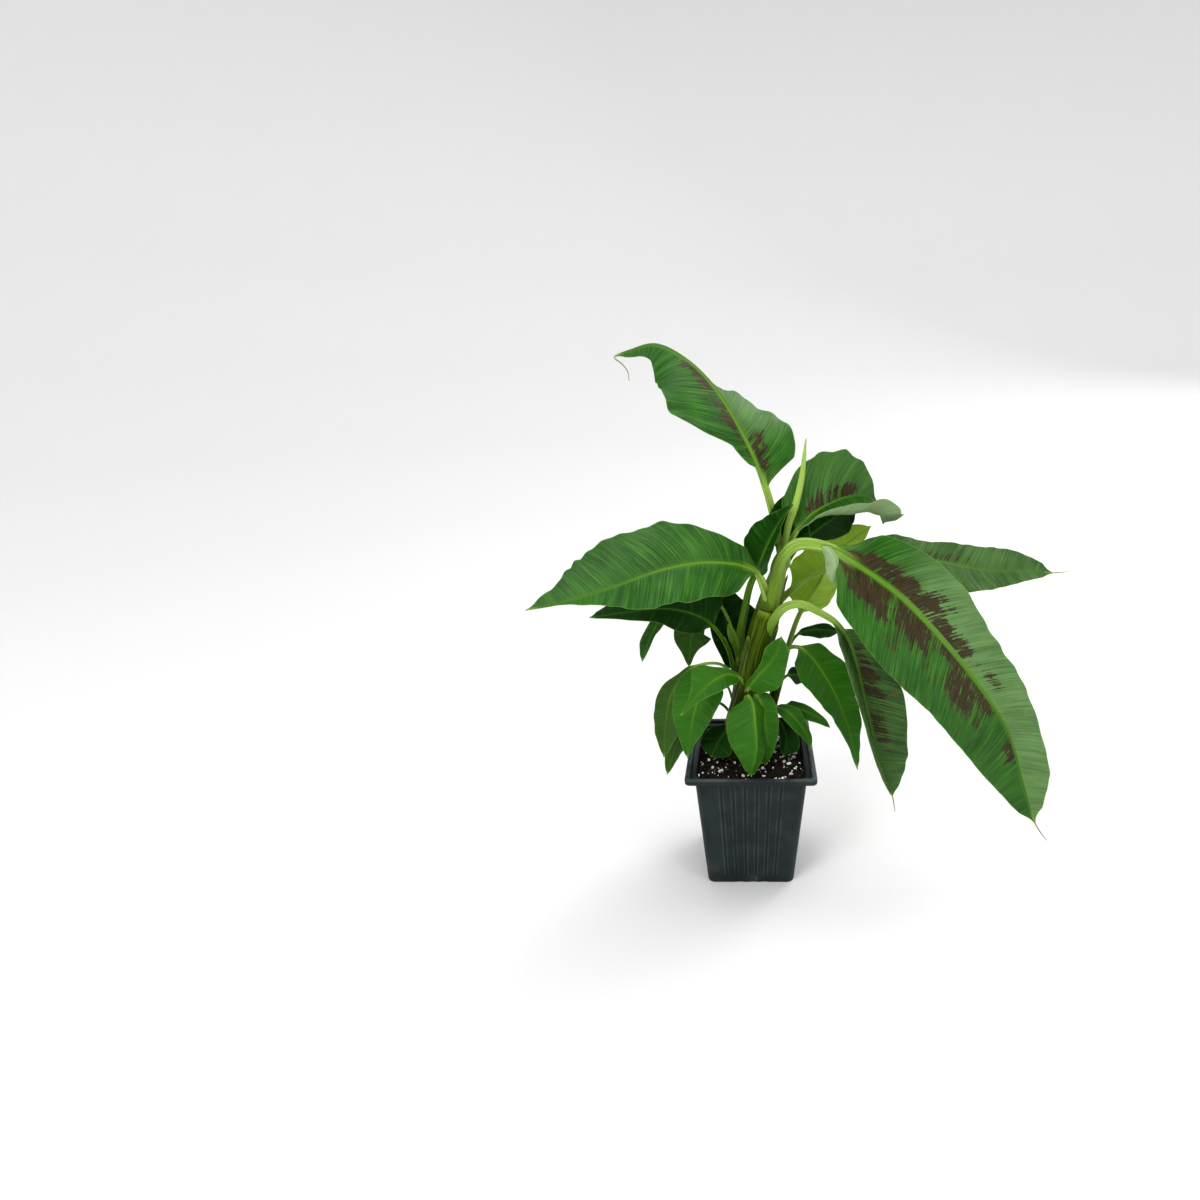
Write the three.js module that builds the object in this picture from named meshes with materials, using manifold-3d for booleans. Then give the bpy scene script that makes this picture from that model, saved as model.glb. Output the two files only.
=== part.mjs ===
// Potted dwarf cavendish banana: a square nursery pot of soil with three leafy stems.
// Millimetres, +Z up. The origin is the middle of the pot's flat underside.
// -Y is the side that the two largest leaves lean out to, one to the left and one to the right.

import * as THREE from 'three';
import { mergeVertices } from 'three/addons/utils/BufferGeometryUtils.js';
import Module from 'manifold-3d';

const wasm = await Module();
wasm.setup();

// Driving dimensions of the pot
const POT_HEIGHT = 106;
const RIM_HALF = 51;
const RIM_INNER_HALF = 47;
const RIM_SKIRT = 4.6;
const RIM_CORNER = 4;
const RIM_INNER_CORNER = 2.5;
const RIM_ROUNDING = 0.9;
const WALL_TOP_HALF = 44;
const WALL_BOTTOM_HALF = 35.5;
const WALL_CORNER = 6;
const WALL_THICKNESS = 1.3;
const FLOOR_THICKNESS = 1.6;
const SHELF_THICKNESS = 1.4;
const FOOT_ROUNDING = 1.2;
const CORNER_STEPS = 4;
const FLUTES_PER_SIDE = 6;
const FLUTE_PITCH = 9.6;
const FLUTE_HALF_WIDTH = 1.8;
const FLUTE_DEPTH = 0.5;
const FLUTE_BOTTOM = 10;
const FLUTE_TOP = 95;
const FLUTE_FADE = 3;
const DRAIN_HOLE_RADIUS = 4;
const DRAIN_HOLE_OFFSET = 18;
const NOTCH_RADIUS = 9;
const NOTCH_HEIGHT = 1.1;
const NOTCH_DEPTH = 1.6;
const NOTCH_OFFSETS = [-9, 2, 11];

// Driving dimensions of the soil
const SOIL_TOP = 99;
const SOIL_GAP = 0.3;
const SOIL_BLOCK = 100;
const SOIL_CELLS = 10;
const PERLITE_COUNT = 24;
const PERLITE_RADIUS = 1.6;
const PERLITE_MARGIN = 6;

// Driving dimensions of the plant
const TOUCH_GAP = 0.3;
const BLADE_THICKNESS = 0.8;
const THREAD_RADIUS = 0.5;
const STEM_SIDES = 12;
const RINGS_PER_STEM_SPAN = 2;
const RINGS_PER_STALK_SPAN = 1.5;
const KEEL_DEPTH = 1.1;
const RIB_HALF_WIDTH = 0.8;

const plastic = { color: 0x2d3839, roughness: 0.55, metalness: 0 };
const earth = { color: 0x2a211a, roughness: 0.95, metalness: 0 };
const leafGreen = { color: 0x2f6b26, roughness: 0.5, metalness: 0 };
const youngGreen = { color: 0x8fae3c, roughness: 0.5, metalness: 0 };
const stemGreen = { color: 0x6f7a1c, roughness: 0.5, metalness: 0 };

// Small helpers with numbers

function seeded(seed) {
  let state = seed;
  return () => {
    state = (state * 1664525 + 1013904223) % 4294967296;
    return state / 4294967296;
  };
}

function clamp(x, low, high) {
  return Math.min(Math.max(x, low), high);
}

// Value through evenly spaced keys, with an easy start and end at each key
function eased(keys, t) {
  if (keys.length === 1) return keys[0];
  const x = clamp(t, 0, 1) * (keys.length - 1);
  const i = Math.min(Math.floor(x), keys.length - 2);
  const f = (x - i) ** 2 * (3 - 2 * (x - i));
  return keys[i] * (1 - f) + keys[i + 1] * f;
}

// Smooth curve through evenly spaced keys
function throughKeys(keys, at) {
  const x = clamp(at, 0, keys.length - 1);
  const i = Math.min(Math.floor(x), keys.length - 2);
  const f = x - i;
  const a = keys[Math.max(i - 1, 0)];
  const b = keys[i];
  const c = keys[i + 1];
  const d = keys[Math.min(i + 2, keys.length - 1)];
  const linear = (c - a) * f;
  const square = (2 * a - 5 * b + 4 * c - d) * f * f;
  const cube = (3 * b - a - 3 * c + d) * f * f * f;
  return 0.5 * (2 * b + linear + square + cube);
}

// Solids from rings of points

function ringIndices(rings, mirroredFrom) {
  const around = rings[0].length;
  const index = [];
  for (let i = 0; i < rings.length - 1; i += 1) {
    for (let j = 0; j < around; j += 1) {
      const a = i * around + j;
      const b = i * around + ((j + 1) % around);
      const c = a + around;
      const d = b + around;
      if (j < mirroredFrom) index.push(a, b, c, b, d, c);
      else index.push(a, b, d, a, d, c);
    }
  }
  const last = (rings.length - 1) * around;
  for (let j = 1; j < around - 1; j += 1) {
    index.push(0, j + 1, j);
    index.push(last, last + j, last + j + 1);
  }
  return index;
}

// A closed solid through rings whose points turn clockwise for an eye looking along the sweep.
// From mirroredFrom on, the squares are split the other way, so both faces of a blade match.
function solidFromRings(rings, mirroredFrom = Infinity) {
  const flat = rings.flat().flatMap((p) => [p.x, p.y, p.z]);
  return new wasm.Manifold(
    new wasm.Mesh({
      numProp: 3,
      vertProperties: new Float32Array(flat),
      triVerts: new Uint32Array(ringIndices(rings, mirroredFrom)),
    }),
  );
}

function solidFromGeometry(source) {
  const bare = source.clone();
  bare.deleteAttribute('normal');
  bare.deleteAttribute('uv');
  const merged = mergeVertices(bare, 1e-4);
  return new wasm.Manifold(
    new wasm.Mesh({
      numProp: 3,
      vertProperties: new Float32Array(merged.attributes.position.array),
      triVerts: new Uint32Array(merged.index.array),
    }),
  );
}

function meshFromSolid(name, solid, finish) {
  const result = solid.getMesh();
  const geometry = new THREE.BufferGeometry();
  const position = new Float32Array(result.numVert * 3);
  for (let i = 0; i < result.numVert; i += 1) {
    for (let k = 0; k < 3; k += 1) {
      position[i * 3 + k] = result.vertProperties[i * result.numProp + k];
    }
  }
  geometry.setAttribute('position', new THREE.BufferAttribute(position, 3));
  geometry.setIndex(Array.from(result.triVerts));
  geometry.computeVertexNormals();
  const mesh = new THREE.Mesh(geometry, new THREE.MeshStandardMaterial(finish));
  mesh.name = name;
  return mesh;
}

function largestPiece(solid) {
  return solid.decompose().reduce((a, b) => (b.volume() > a.volume() ? b : a));
}

function boxesMeet(a, b) {
  const first = a.boundingBox();
  const second = b.boundingBox();
  return [0, 1, 2].every((k) => first.min[k] < second.max[k] && second.min[k] < first.max[k]);
}

// Pot

const SKIRT_BOTTOM = POT_HEIGHT - RIM_SKIRT;

function wallHalf(z) {
  return WALL_BOTTOM_HALF + ((WALL_TOP_HALF - WALL_BOTTOM_HALF) * z) / SKIRT_BOTTOM;
}

// Outline of a square with round corners. With a flute depth, even zero, its sides carry
// the points of the flutes.
function squareRing(half, corner, z, fluteDepth = null) {
  const ring = [];
  for (let side = 0; side < 4; side += 1) {
    const turn = (side * Math.PI) / 2;
    const place = (along, out) => {
      const x = out * Math.cos(turn) - along * Math.sin(turn);
      const y = out * Math.sin(turn) + along * Math.cos(turn);
      return new THREE.Vector3(x, y, z);
    };
    const flutes = fluteDepth === null ? 0 : FLUTES_PER_SIDE;
    for (let i = 0; i < flutes; i += 1) {
      const centre = (i - (flutes - 1) / 2) * FLUTE_PITCH * (half / WALL_TOP_HALF);
      ring.push(place(centre - FLUTE_HALF_WIDTH, half));
      ring.push(place(centre, half - fluteDepth));
      ring.push(place(centre + FLUTE_HALF_WIDTH, half));
    }
    for (let i = 0; i <= CORNER_STEPS; i += 1) {
      const angle = (i / CORNER_STEPS) * (Math.PI / 2);
      const inner = half - corner;
      ring.push(place(inner + corner * Math.sin(angle), inner + corner * Math.cos(angle)));
    }
  }
  return ring;
}

function potWall() {
  const section = (z, fluteDepth) => squareRing(wallHalf(z), WALL_CORNER, z, fluteDepth);
  return solidFromRings([
    squareRing(wallHalf(0) - FOOT_ROUNDING * 0.8, WALL_CORNER, 0, 0),
    section(FOOT_ROUNDING, 0),
    section(FLUTE_BOTTOM - FLUTE_FADE, 0),
    section(FLUTE_BOTTOM, FLUTE_DEPTH),
    section(FLUTE_TOP, FLUTE_DEPTH),
    section(FLUTE_TOP + FLUTE_FADE, 0),
    section(SKIRT_BOTTOM + 0.4, 0),
  ]);
}

function potRim() {
  return solidFromRings([
    squareRing(RIM_HALF - RIM_ROUNDING, RIM_CORNER, SKIRT_BOTTOM),
    squareRing(RIM_HALF - 0.2, RIM_CORNER, SKIRT_BOTTOM + RIM_ROUNDING),
    squareRing(RIM_HALF, RIM_CORNER, POT_HEIGHT - RIM_ROUNDING),
    squareRing(RIM_HALF - RIM_ROUNDING, RIM_CORNER, POT_HEIGHT),
  ]);
}

function potHollow() {
  const shelfTop = SKIRT_BOTTOM + SHELF_THICKNESS;
  const below = solidFromRings([
    squareRing(wallHalf(FLOOR_THICKNESS) - WALL_THICKNESS, WALL_CORNER, FLOOR_THICKNESS),
    squareRing(wallHalf(shelfTop) - WALL_THICKNESS, WALL_CORNER, shelfTop + 1),
  ]);
  const above = solidFromRings([
    squareRing(RIM_INNER_HALF - 0.3, RIM_INNER_CORNER, shelfTop),
    squareRing(RIM_INNER_HALF, RIM_INNER_CORNER, POT_HEIGHT + 1),
  ]);
  return below.add(above);
}

function drainHole(x, y) {
  const hole = new THREE.CylinderGeometry(DRAIN_HOLE_RADIUS, DRAIN_HOLE_RADIUS, 4 * FLOOR_THICKNESS, 16);
  hole.rotateX(Math.PI / 2);
  hole.translate(x, y, 0);
  return solidFromGeometry(hole);
}

function footNotch(side, along) {
  const notch = new THREE.CylinderGeometry(NOTCH_RADIUS, NOTCH_RADIUS, 2 * NOTCH_DEPTH, 32);
  notch.translate(along, -WALL_BOTTOM_HALF + 0.4, NOTCH_HEIGHT - NOTCH_RADIUS);
  notch.rotateZ((side * Math.PI) / 2);
  return solidFromGeometry(notch);
}

function potNode() {
  let pot = potWall().add(potRim()).subtract(potHollow());
  for (const x of [-DRAIN_HOLE_OFFSET, DRAIN_HOLE_OFFSET]) {
    for (const y of [-DRAIN_HOLE_OFFSET, DRAIN_HOLE_OFFSET]) pot = pot.subtract(drainHole(x, y));
  }
  for (let side = 0; side < 4; side += 1) {
    for (const along of NOTCH_OFFSETS) pot = pot.subtract(footNotch(side, along));
  }
  return meshFromSolid('pot', pot, plastic);
}

// Soil

function soilHeight(x, y) {
  const slow = 0.9 * Math.sin(x * 0.09 + 1.1) * Math.cos(y * 0.08 - 0.4);
  const quick = 0.45 * Math.sin(x * 0.33 + y * 0.21) + 0.35 * Math.sin(y * 0.41 - x * 0.17 + 2);
  return SOIL_TOP + slow + quick;
}

function soilBody() {
  const block = new THREE.BoxGeometry(SOIL_BLOCK, SOIL_BLOCK, SOIL_TOP, SOIL_CELLS, SOIL_CELLS, 1);
  block.translate(0, 0, SOIL_TOP / 2);
  const place = block.attributes.position;
  for (let i = 0; i < place.count; i += 1) {
    if (place.getZ(i) > SOIL_TOP / 2) place.setZ(i, soilHeight(place.getX(i), place.getY(i)));
  }
  const bottom = FLOOR_THICKNESS + SOIL_GAP;
  const inset = WALL_THICKNESS + SOIL_GAP;
  const inside = solidFromRings([
    squareRing(wallHalf(bottom) - inset, WALL_CORNER, bottom),
    squareRing(wallHalf(SKIRT_BOTTOM) - inset, WALL_CORNER, SKIRT_BOTTOM),
  ]);
  return solidFromGeometry(block).intersect(inside);
}

function perlite() {
  const draw = seeded(11);
  const grains = [];
  const reach = wallHalf(SOIL_TOP) - PERLITE_MARGIN;
  for (let i = 0; i < PERLITE_COUNT; i += 1) {
    const grain = new THREE.OctahedronGeometry(PERLITE_RADIUS * (0.5 + 0.8 * draw()), 0);
    grain.rotateX(draw() * 3);
    grain.rotateZ(draw() * 3);
    const x = (draw() * 2 - 1) * reach;
    const y = (draw() * 2 - 1) * reach;
    grain.translate(x, y, soilHeight(x, y));
    grains.push(solidFromGeometry(grain));
  }
  return wasm.Manifold.union(grains);
}

function soilNode(holes) {
  let soil = soilBody().add(perlite());
  for (const hole of holes) soil = soil.subtract(hole);
  return meshFromSolid('soil', largestPiece(soil), earth);
}

// Stems: overlapping leaf sheaths wrapped round each other.
// path: points from the soil upward. radii: at even places along it. sheaths: how many edges
// show round it. step: how far a sheath edge stands out, as a share of the radius.

const STEMS = [
  {
    name: 'main_stem',
    path: [[-20, 2, 84], [-11, 1, 127], [-2, 0, 162], [7, -1, 202], [15, -1, 235], [21, 0, 258], [25, 1, 275]],
    radii: [10, 10, 10, 11, 9, 6, 4],
    sheaths: 2,
    step: 0.09,
  },
  {
    name: 'left_stem',
    path: [[-22, 20, 84], [-14, 19, 125], [-11, 18, 149], [-9, 17, 177], [-8, 16, 195]],
    radii: [5.5, 5, 4.5, 4, 3],
    sheaths: 2,
    step: 0.09,
  },
  {
    name: 'rear_stem',
    path: [[7, 28, 84], [15, 27, 121], [21, 26, 146], [26, 25, 169], [29, 25, 182]],
    radii: [5.5, 5, 4.5, 4, 3],
    sheaths: 2,
    step: 0.09,
  },
  {
    name: 'leaf_spear',
    path: [[25, 1, 272], [28, 2, 293], [33, 3, 308], [37, 4, 326], [39, 5, 344], [40, 6, 356]],
    radii: [2.6, 2.8, 2.7, 2.2, 1.4, 0.5],
    sheaths: 1,
    step: 0.18,
  },
];

const SHEATH_TWIST = 0.7;

function pathCurve(points) {
  return new THREE.CatmullRomCurve3(points.map((p) => new THREE.Vector3(...p)));
}

function stemSolid({ path, radii, sheaths, step }, grow = 0) {
  const curve = pathCurve(path);
  const count = (path.length - 1) * RINGS_PER_STEM_SPAN;
  const rings = [];
  for (let i = 0; i <= count; i += 1) {
    const u = i / count;
    const along = curve.getTangent(u);
    const right = new THREE.Vector3().crossVectors(along, new THREE.Vector3(0, 1, 0)).normalize();
    const back = new THREE.Vector3().crossVectors(along, right).normalize();
    const beyond = i === 0 ? -grow : (i === count) * grow;
    const centre = curve.getPoint(u).addScaledVector(along, beyond);
    const radius = throughKeys(radii, u * (radii.length - 1)) + grow;
    const ring = [];
    for (let j = 0; j < STEM_SIDES; j += 1) {
      const turn = j / STEM_SIDES;
      const lap = 1 + step * (((turn * sheaths + u * SHEATH_TWIST) % 1) - 0.5);
      const angle = turn * 2 * Math.PI;
      const x = Math.cos(angle) * radius * lap;
      const y = Math.sin(angle) * radius * lap;
      ring.push(centre.clone().addScaledVector(right, x).addScaledVector(back, y));
    }
    rings.push(ring);
  }
  return solidFromRings(rings);
}

// Leaves: a stalk that opens into a blade with a rib, then sometimes a thread at the tip.
// path: points from the stem to the tip. blade: the points between which the blade runs.
// stalk: radius at the stem and at the blade. face: way the upper side looks, along the blade.
// left and right: half widths at even places along the blade, seen from above with the tip ahead.
// fold: how far each half rises from the rib, in degrees, along the blade. curl: how far it
// bends on the way to its edge. wave: height, number and start of the waves along the edge.
// steps: rows along the blade. lobe: a small blade grown onto this one.

const LEAVES = [
  {
    name: 'leaf_top',
    path: [
      [24, 3, 265], [17, 12, 298], [11, 15, 319], [-2, 24, 349], [-26, 38, 388], [-49, 48, 410], [-73, 54, 421],
      [-92, 56, 417], [-105, 56, 412], [-100, 55, 408], [-95, 54, 402], [-94, 53, 395],
    ],
    blade: [2, 8],
    stalk: [3.4, 2.8],
    face: [[0.3, -0.9, 0.3], [0.4, -0.6, 0.6], [-0.3, -0.9, 0.3]],
    left: [10, 33, 46, 42, 33, 18, 6],
    right: [35, 37, 30, 22, 18, 13, 8],
    foldLeft: [14, 10, 0],
    foldRight: [8, 2, -8, -70, -80, -60],
    curl: [-10, -15, -10],
    startLeft: 0.1,
    wave: [2.2, 3.5, 0.1],
    steps: 12,
  },
  {
    name: 'leaf_front_left',
    path: [
      [15, -4, 232], [10, -9, 248], [4, -12, 260], [-8, -17, 267], [-35, -28, 272], [-63, -40, 270],
      [-96, -52, 261], [-124, -60, 254], [-153, -66, 249],
    ],
    blade: [2, 8],
    stalk: [5, 2.6],
    face: [[0.6, -0.8, 0.2], [0.1, -0.7, 0.7], [0, -0.6, 0.8]],
    left: [22, 25, 28, 27, 20, 8, 1],
    right: [14, 24, 32, 34, 34, 29, 14],
    fold: [18, 14, 8],
    curl: [-15, -15, -10],
    wave: [2, 4.5, 0.2],
    steps: 12,
  },
  {
    name: 'leaf_big_right',
    path: [
      [15, -5, 226], [18, -9, 247], [21, -11, 268], [32, -14, 281], [44, -17, 283], [60, -20, 279], [73, -24, 272],
      [107, -32, 249], [141, -39, 215], [170, -44, 180], [192, -47, 147], [209, -48, 101], [223, -47, 65],
      [234, -46, 49],
    ],
    blade: [5, 12],
    stalk: [5.5, 4.2],
    face: [[-0.1, -0.9, 0.4], [0.2, -0.9, 0.3], [-0.1, -1, -0.1]],
    left: [29, 34, 32, 28, 25, 21, 17],
    right: [36, 45, 45, 42, 38, 31, 17],
    fold: [20, 14, 8],
    curl: [-15, -15, -10],
    wave: [1.6, 4, 0],
    steps: 14,
    lobe: {
      path: [[52, -20, 282], [57, -25, 279], [60, -28, 272], [60, -28, 264], [60, -26, 255]],
      blade: [0, 4],
      stalk: [1, 1],
      face: [[0.2, -0.9, 0.4], [0.1, -1, 0.1], [0.1, -1, 0]],
      left: [5, 6, 5],
      right: [6, 8, 6],
      fold: [-30, -35, -20],
      curl: [-30],
      wave: [0.8, 2.5, 0],
      steps: 5,
    },
  },
  {
    name: 'leaf_rear_right',
    path: [
      [19, 2, 229], [30, 7, 239], [43, 13, 247], [61, 19, 254], [93, 27, 258], [124, 33, 259], [154, 37, 255],
      [192, 40, 247], [225, 42, 246], [249, 42, 244], [261, 42, 245],
    ],
    blade: [3.5, 9],
    stalk: [2.8, 2.2],
    face: [[0.1, -0.6, 0.8], [0.2, -0.7, 0.7], [0, -0.7, 0.7]],
    left: [18, 19, 16, 17, 20, 19, 15],
    right: [16, 21, 24, 26, 22, 14, 9],
    fold: [12, 6, 4],
    wave: [1.2, 4, 0.3],
    steps: 10,
  },
  {
    name: 'leaf_saddle',
    path: [
      [27, 1, 261], [28, 0, 276], [34, 0, 289], [41, 3, 297], [51, 7, 304], [61, 12, 308], [74, 17, 312],
      [89, 22, 311], [99, 26, 301], [104, 28, 288],
    ],
    blade: [2, 9],
    stalk: [3, 2.4],
    face: [[-0.7, -0.5, 0.5], [-0.1, -0.2, 1], [0.7, 0.2, 0.7]],
    left: [24, 33, 36, 36, 26, 4, 2],
    right: [8, 22, 34, 40, 38],
    foldLeft: [40, 80, 80],
    foldRight: [-60, -80, -60, -15],
    curlRight: [150, 180, 140, 50],
    wave: [1.2, 3, 0],
    steps: 12,
    columns: 3,
  },
  {
    name: 'leaf_left_trough',
    path: [
      [-9, 17, 178], [-9, 16, 198], [-6, 12, 218], [-1, 6, 244], [5, 2, 259], [11, -2, 276], [19, -4, 293],
      [26, -5, 304], [31, -5, 310],
    ],
    blade: [4, 8],
    stalk: [4.5, 2.4],
    face: [[-0.8, -0.6, 0.1], [-0.7, -0.7, 0.3], [-0.6, -0.5, 0.5]],
    left: [13, 17, 15, 10, 5],
    right: [21, 20, 17, 13, 7],
    foldLeft: [35],
    foldRight: [30, 35, 40],
    wave: [0.6, 2, 0],
  },
  {
    name: 'leaf_narrow_top',
    path: [[26, 3, 261], [26, 6, 271], [28, 11, 285], [31, 16, 303], [36, 18, 323]],
    blade: [1, 4],
    stalk: [1.8, 1.4],
    face: [[0, -0.9, 0.4], [-0.1, -1, 0.2], [-0.1, -1, 0.1]],
    left: [16, 19, 16, 12, 5],
    right: [19, 17, 14, 10, 5],
    fold: [30, 25, 20],
    wave: [0.4, 2, 0],
  },
  {
    name: 'leaf_rear_dark',
    path: [[24, 1, 254], [31, 8, 267], [43, 16, 279], [60, 22, 291], [81, 25, 304]],
    blade: [2, 4],
    stalk: [1.8, 1.4],
    face: [[-0.2, -0.7, 0.7], [-0.3, -0.7, 0.6], [-0.3, -0.7, 0.7]],
    left: [7, 9, 8, 7, 4],
    right: [12, 18, 21, 19, 13],
    fold: [15],
    wave: [0.6, 2, 0],
  },
  {
    name: 'leaf_young',
    path: [
      [29, 24, 178], [32, 23, 192], [38, 22, 212], [45, 23, 226], [54, 25, 240], [63, 28, 259], [79, 33, 273],
      [96, 38, 284],
    ],
    blade: [2.3, 7],
    stalk: [2.4, 2],
    face: [[-0.2, 1, 0], [-0.5, 0.9, 0.1], [-0.4, 0.9, 0.1]],
    left: [23, 24, 23, 21, 15],
    right: [17, 26, 22, 14, 11],
    fold: [20],
    wave: [0.8, 2.5, 0],
    steps: 9,
  },
  {
    name: 'leaf_right_drooping',
    path: [
      [10, -4, 199], [15, -12, 218], [25, -17, 234], [37, -21, 238], [50, -24, 233], [62, -26, 226], [72, -28, 214],
      [78, -31, 198], [85, -34, 172], [94, -36, 138], [102, -36, 111], [112, -36, 82], [115, -35, 68],
    ],
    blade: [5, 11],
    stalk: [4, 2.4],
    face: [[-0.1, -1, 0.1], [0, -1, 0.1], [0.2, -1, 0]],
    left: [14, 26, 27, 23, 17],
    right: [23, 30, 31, 28, 19],
    foldLeft: [10, 8, 5],
    foldRight: [75, 80, 75],
    startLeft: 0.06,
    wave: [1.2, 3, 0.1],
    steps: 10,
  },
  {
    name: 'leaf_rear_drooping',
    path: [[27, 24, 170], [29, 16, 187], [38, 8, 192], [48, 1, 186], [64, -6, 163], [78, -11, 130], [87, -13, 93]],
    blade: [2, 6],
    stalk: [2, 1.8],
    face: [[-0.2, -0.3, 0.9], [0.5, -0.8, 0.3], [0.5, -0.9, 0.2]],
    left: [15, 20, 16, 12, 6],
    right: [21, 18, 13, 8, 3],
    fold: [12, 8, 5],
    wave: [0.8, 3, 0.2],
    steps: 9,
  },
  {
    name: 'leaf_small_behind_right',
    path: [[28, 26, 169], [31, 27, 183], [39, 29, 195], [53, 32, 198], [73, 35, 195]],
    blade: [2, 4],
    stalk: [1.4, 1.2],
    face: [[-0.2, -0.8, 0.6], [0.2, -0.7, 0.7]],
    left: [2, 3, 4, 5, 4],
    right: [4, 6, 8, 7, 5],
    fold: [10],
    wave: [0.3, 2, 0],
  },
  {
    name: 'leaf_small_low_right',
    path: [[20, 28, 135], [24, 30, 149], [31, 33, 156], [44, 37, 154], [63, 41, 146]],
    blade: [2, 4],
    stalk: [1.4, 1.2],
    face: [[0, -0.7, 0.7], [0.4, -0.7, 0.6]],
    left: [6, 4, 3, 2, 1],
    right: [9, 7, 5, 3, 1],
    fold: [10],
    wave: [0.3, 2, 0],
  },
  {
    name: 'leaf_front_upright',
    path: [[-6, -3, 149], [-3, -12, 164], [5, -18, 178], [15, -20, 191], [20, -21, 201], [23, -20, 212]],
    blade: [1, 5],
    stalk: [1.8, 1.6],
    face: [[-0.2, -0.9, -0.4], [-0.1, -1, 0], [0, -1, 0.1]],
    left: [3, 3, 5, 8, 8],
    right: [11, 16, 16, 11, 8],
    fold: [20, 15, 15],
    wave: [0.5, 2, 0],
  },
  {
    name: 'leaf_front_hanging',
    path: [[-6, -4, 142], [-3, -14, 160], [1, -22, 157], [3, -30, 143], [4, -36, 124], [0, -40, 103]],
    blade: [1.2, 5],
    stalk: [1.8, 1.8],
    face: [[-0.2, -0.1, 1], [0, -1, 0.3], [0, -1, 0.2]],
    left: [19, 21, 19, 13, 6],
    right: [18, 21, 21, 18, 11],
    foldLeft: [-60, -70, -30],
    foldRight: [-5, -5, 0],
    wave: [0.5, 2.5, 0],
  },
  {
    name: 'leaf_front_second',
    path: [[-3, -5, 147], [2, -8, 160], [7, -12, 155], [11, -17, 140], [13, -21, 121], [11, -24, 103]],
    blade: [1.2, 5],
    stalk: [1.8, 1.8],
    face: [[-0.1, -0.7, 0.7], [0.1, -1, 0.2], [0, -1, 0.2]],
    left: [9, 10, 9, 7, 4],
    right: [7, 8, 8, 6, 4],
    fold: [5],
    wave: [0.5, 2.5, 0.3],
  },
  {
    name: 'leaf_small_left',
    path: [[-2, -3, 158], [-8, -13, 174], [-19, -23, 182], [-30, -29, 178], [-39, -34, 171], [-53, -38, 155]],
    blade: [1, 5],
    stalk: [1.6, 1.5],
    face: [[0.9, -0.5, 0.2], [0, -0.7, 0.7], [-0.2, -0.9, 0.4]],
    left: [7, 9, 9, 5, 2],
    right: [2, 7, 17, 8, 2],
    fold: [5, 5, 25],
    wave: [0.5, 2.5, 0],
  },
  {
    name: 'leaf_left_hanging_second',
    path: [
      [-13, 18, 127], [-15, 11, 144], [-19, 4, 160], [-28, -3, 173], [-37, -9, 174], [-42, -15, 156],
      [-47, -18, 136], [-51, -19, 107],
    ],
    blade: [3.6, 7],
    stalk: [1.4, 1.3],
    face: [[0.2, -0.3, 0.9], [-0.3, -0.9, 0.2], [-0.2, -1, 0.1]],
    left: [18, 17, 14, 10, 4],
    right: [17, 19, 17, 12, 6],
    fold: [8],
    wave: [0.6, 3, 0.2],
  },
  {
    name: 'leaf_left_hanging_third',
    path: [
      [-7, 16, 147], [-14, 13, 165], [-24, 10, 176], [-36, 5, 179], [-49, 0, 176], [-63, -1, 157],
      [-69, -3, 133], [-72, -4, 99],
    ],
    blade: [3.5, 7],
    stalk: [1.4, 1.3],
    face: [[0, -0.4, 0.9], [-0.5, -0.9, 0.2], [-0.3, -0.9, 0.1]],
    left: [5, 11, 15, 15, 8],
    right: [3, 9, 11, 10, 6],
    fold: [8],
    wave: [0.6, 3, 0.5],
  },
  {
    name: 'leaf_left_hanging_fourth',
    path: [[-14, 18, 120], [-19, 13, 133], [-26, 9, 142], [-37, 6, 143], [-49, 5, 134], [-61, 5, 108], [-71, 5, 77]],
    blade: [3.5, 6],
    stalk: [1.3, 1.2],
    face: [[-0.5, -0.5, 0.7], [-0.5, -0.8, 0.2], [-0.3, -0.9, 0.1]],
    left: [10, 11, 9, 6, 3],
    right: [9, 11, 10, 9, 5],
    fold: [8],
    wave: [0.5, 2.5, 0.5],
  },
  {
    name: 'leaf_rear_left_small',
    path: [
      [-11, 19, 147], [-15, 25, 172], [-24, 31, 193], [-36, 34, 202], [-45, 33, 201], [-50, 31, 189], [-52, 28, 166],
    ],
    blade: [3, 6],
    stalk: [1.4, 1.2],
    face: [[0.2, -0.7, 0.7], [-0.2, -1, 0.2], [-0.2, -1, 0.1]],
    left: [14, 16, 13, 7, 3],
    right: [14, 15, 14, 9, 4],
    fold: [8],
    wave: [0.5, 2.5, 0.5],
  },
  {
    name: 'leaf_rear_left',
    path: [
      [-12, 18, 151], [-15, 17, 170], [-19, 15, 188], [-30, 12, 208], [-41, 8, 218], [-64, 3, 226], [-92, 0, 225],
      [-125, -3, 221],
    ],
    blade: [3, 7],
    stalk: [1.8, 1.6],
    face: [[0.4, -0.9, 0.1], [0, -0.6, 0.8]],
    left: [14, 15, 10, 8, 4],
    right: [30, 22, 20, 16, 9],
    fold: [10],
    wave: [0.8, 3.5, 0.1],
    steps: 9,
  },
  {
    name: 'leaf_rear_shaded',
    path: [[-10, 20, 148], [-13, 25, 163], [-17, 30, 185], [-22, 34, 210], [-26, 36, 237]],
    blade: [1, 4],
    stalk: [1.8, 1.4],
    face: [[-0.1, -1, 0.3], [0, -1, 0.1]],
    left: [8, 12, 13, 12, 8],
    right: [14, 26, 30, 26, 14],
    fold: [10],
    wave: [0.5, 2.5, 0],
  },
  {
    name: 'leaf_rear_left_tip',
    path: [
      [-9, 18, 164], [-13, 25, 191], [-25, 31, 219], [-43, 33, 227], [-66, 31, 218], [-81, 29, 197], [-91, 27, 171],
    ],
    blade: [3, 6],
    stalk: [1.4, 1.2],
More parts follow.
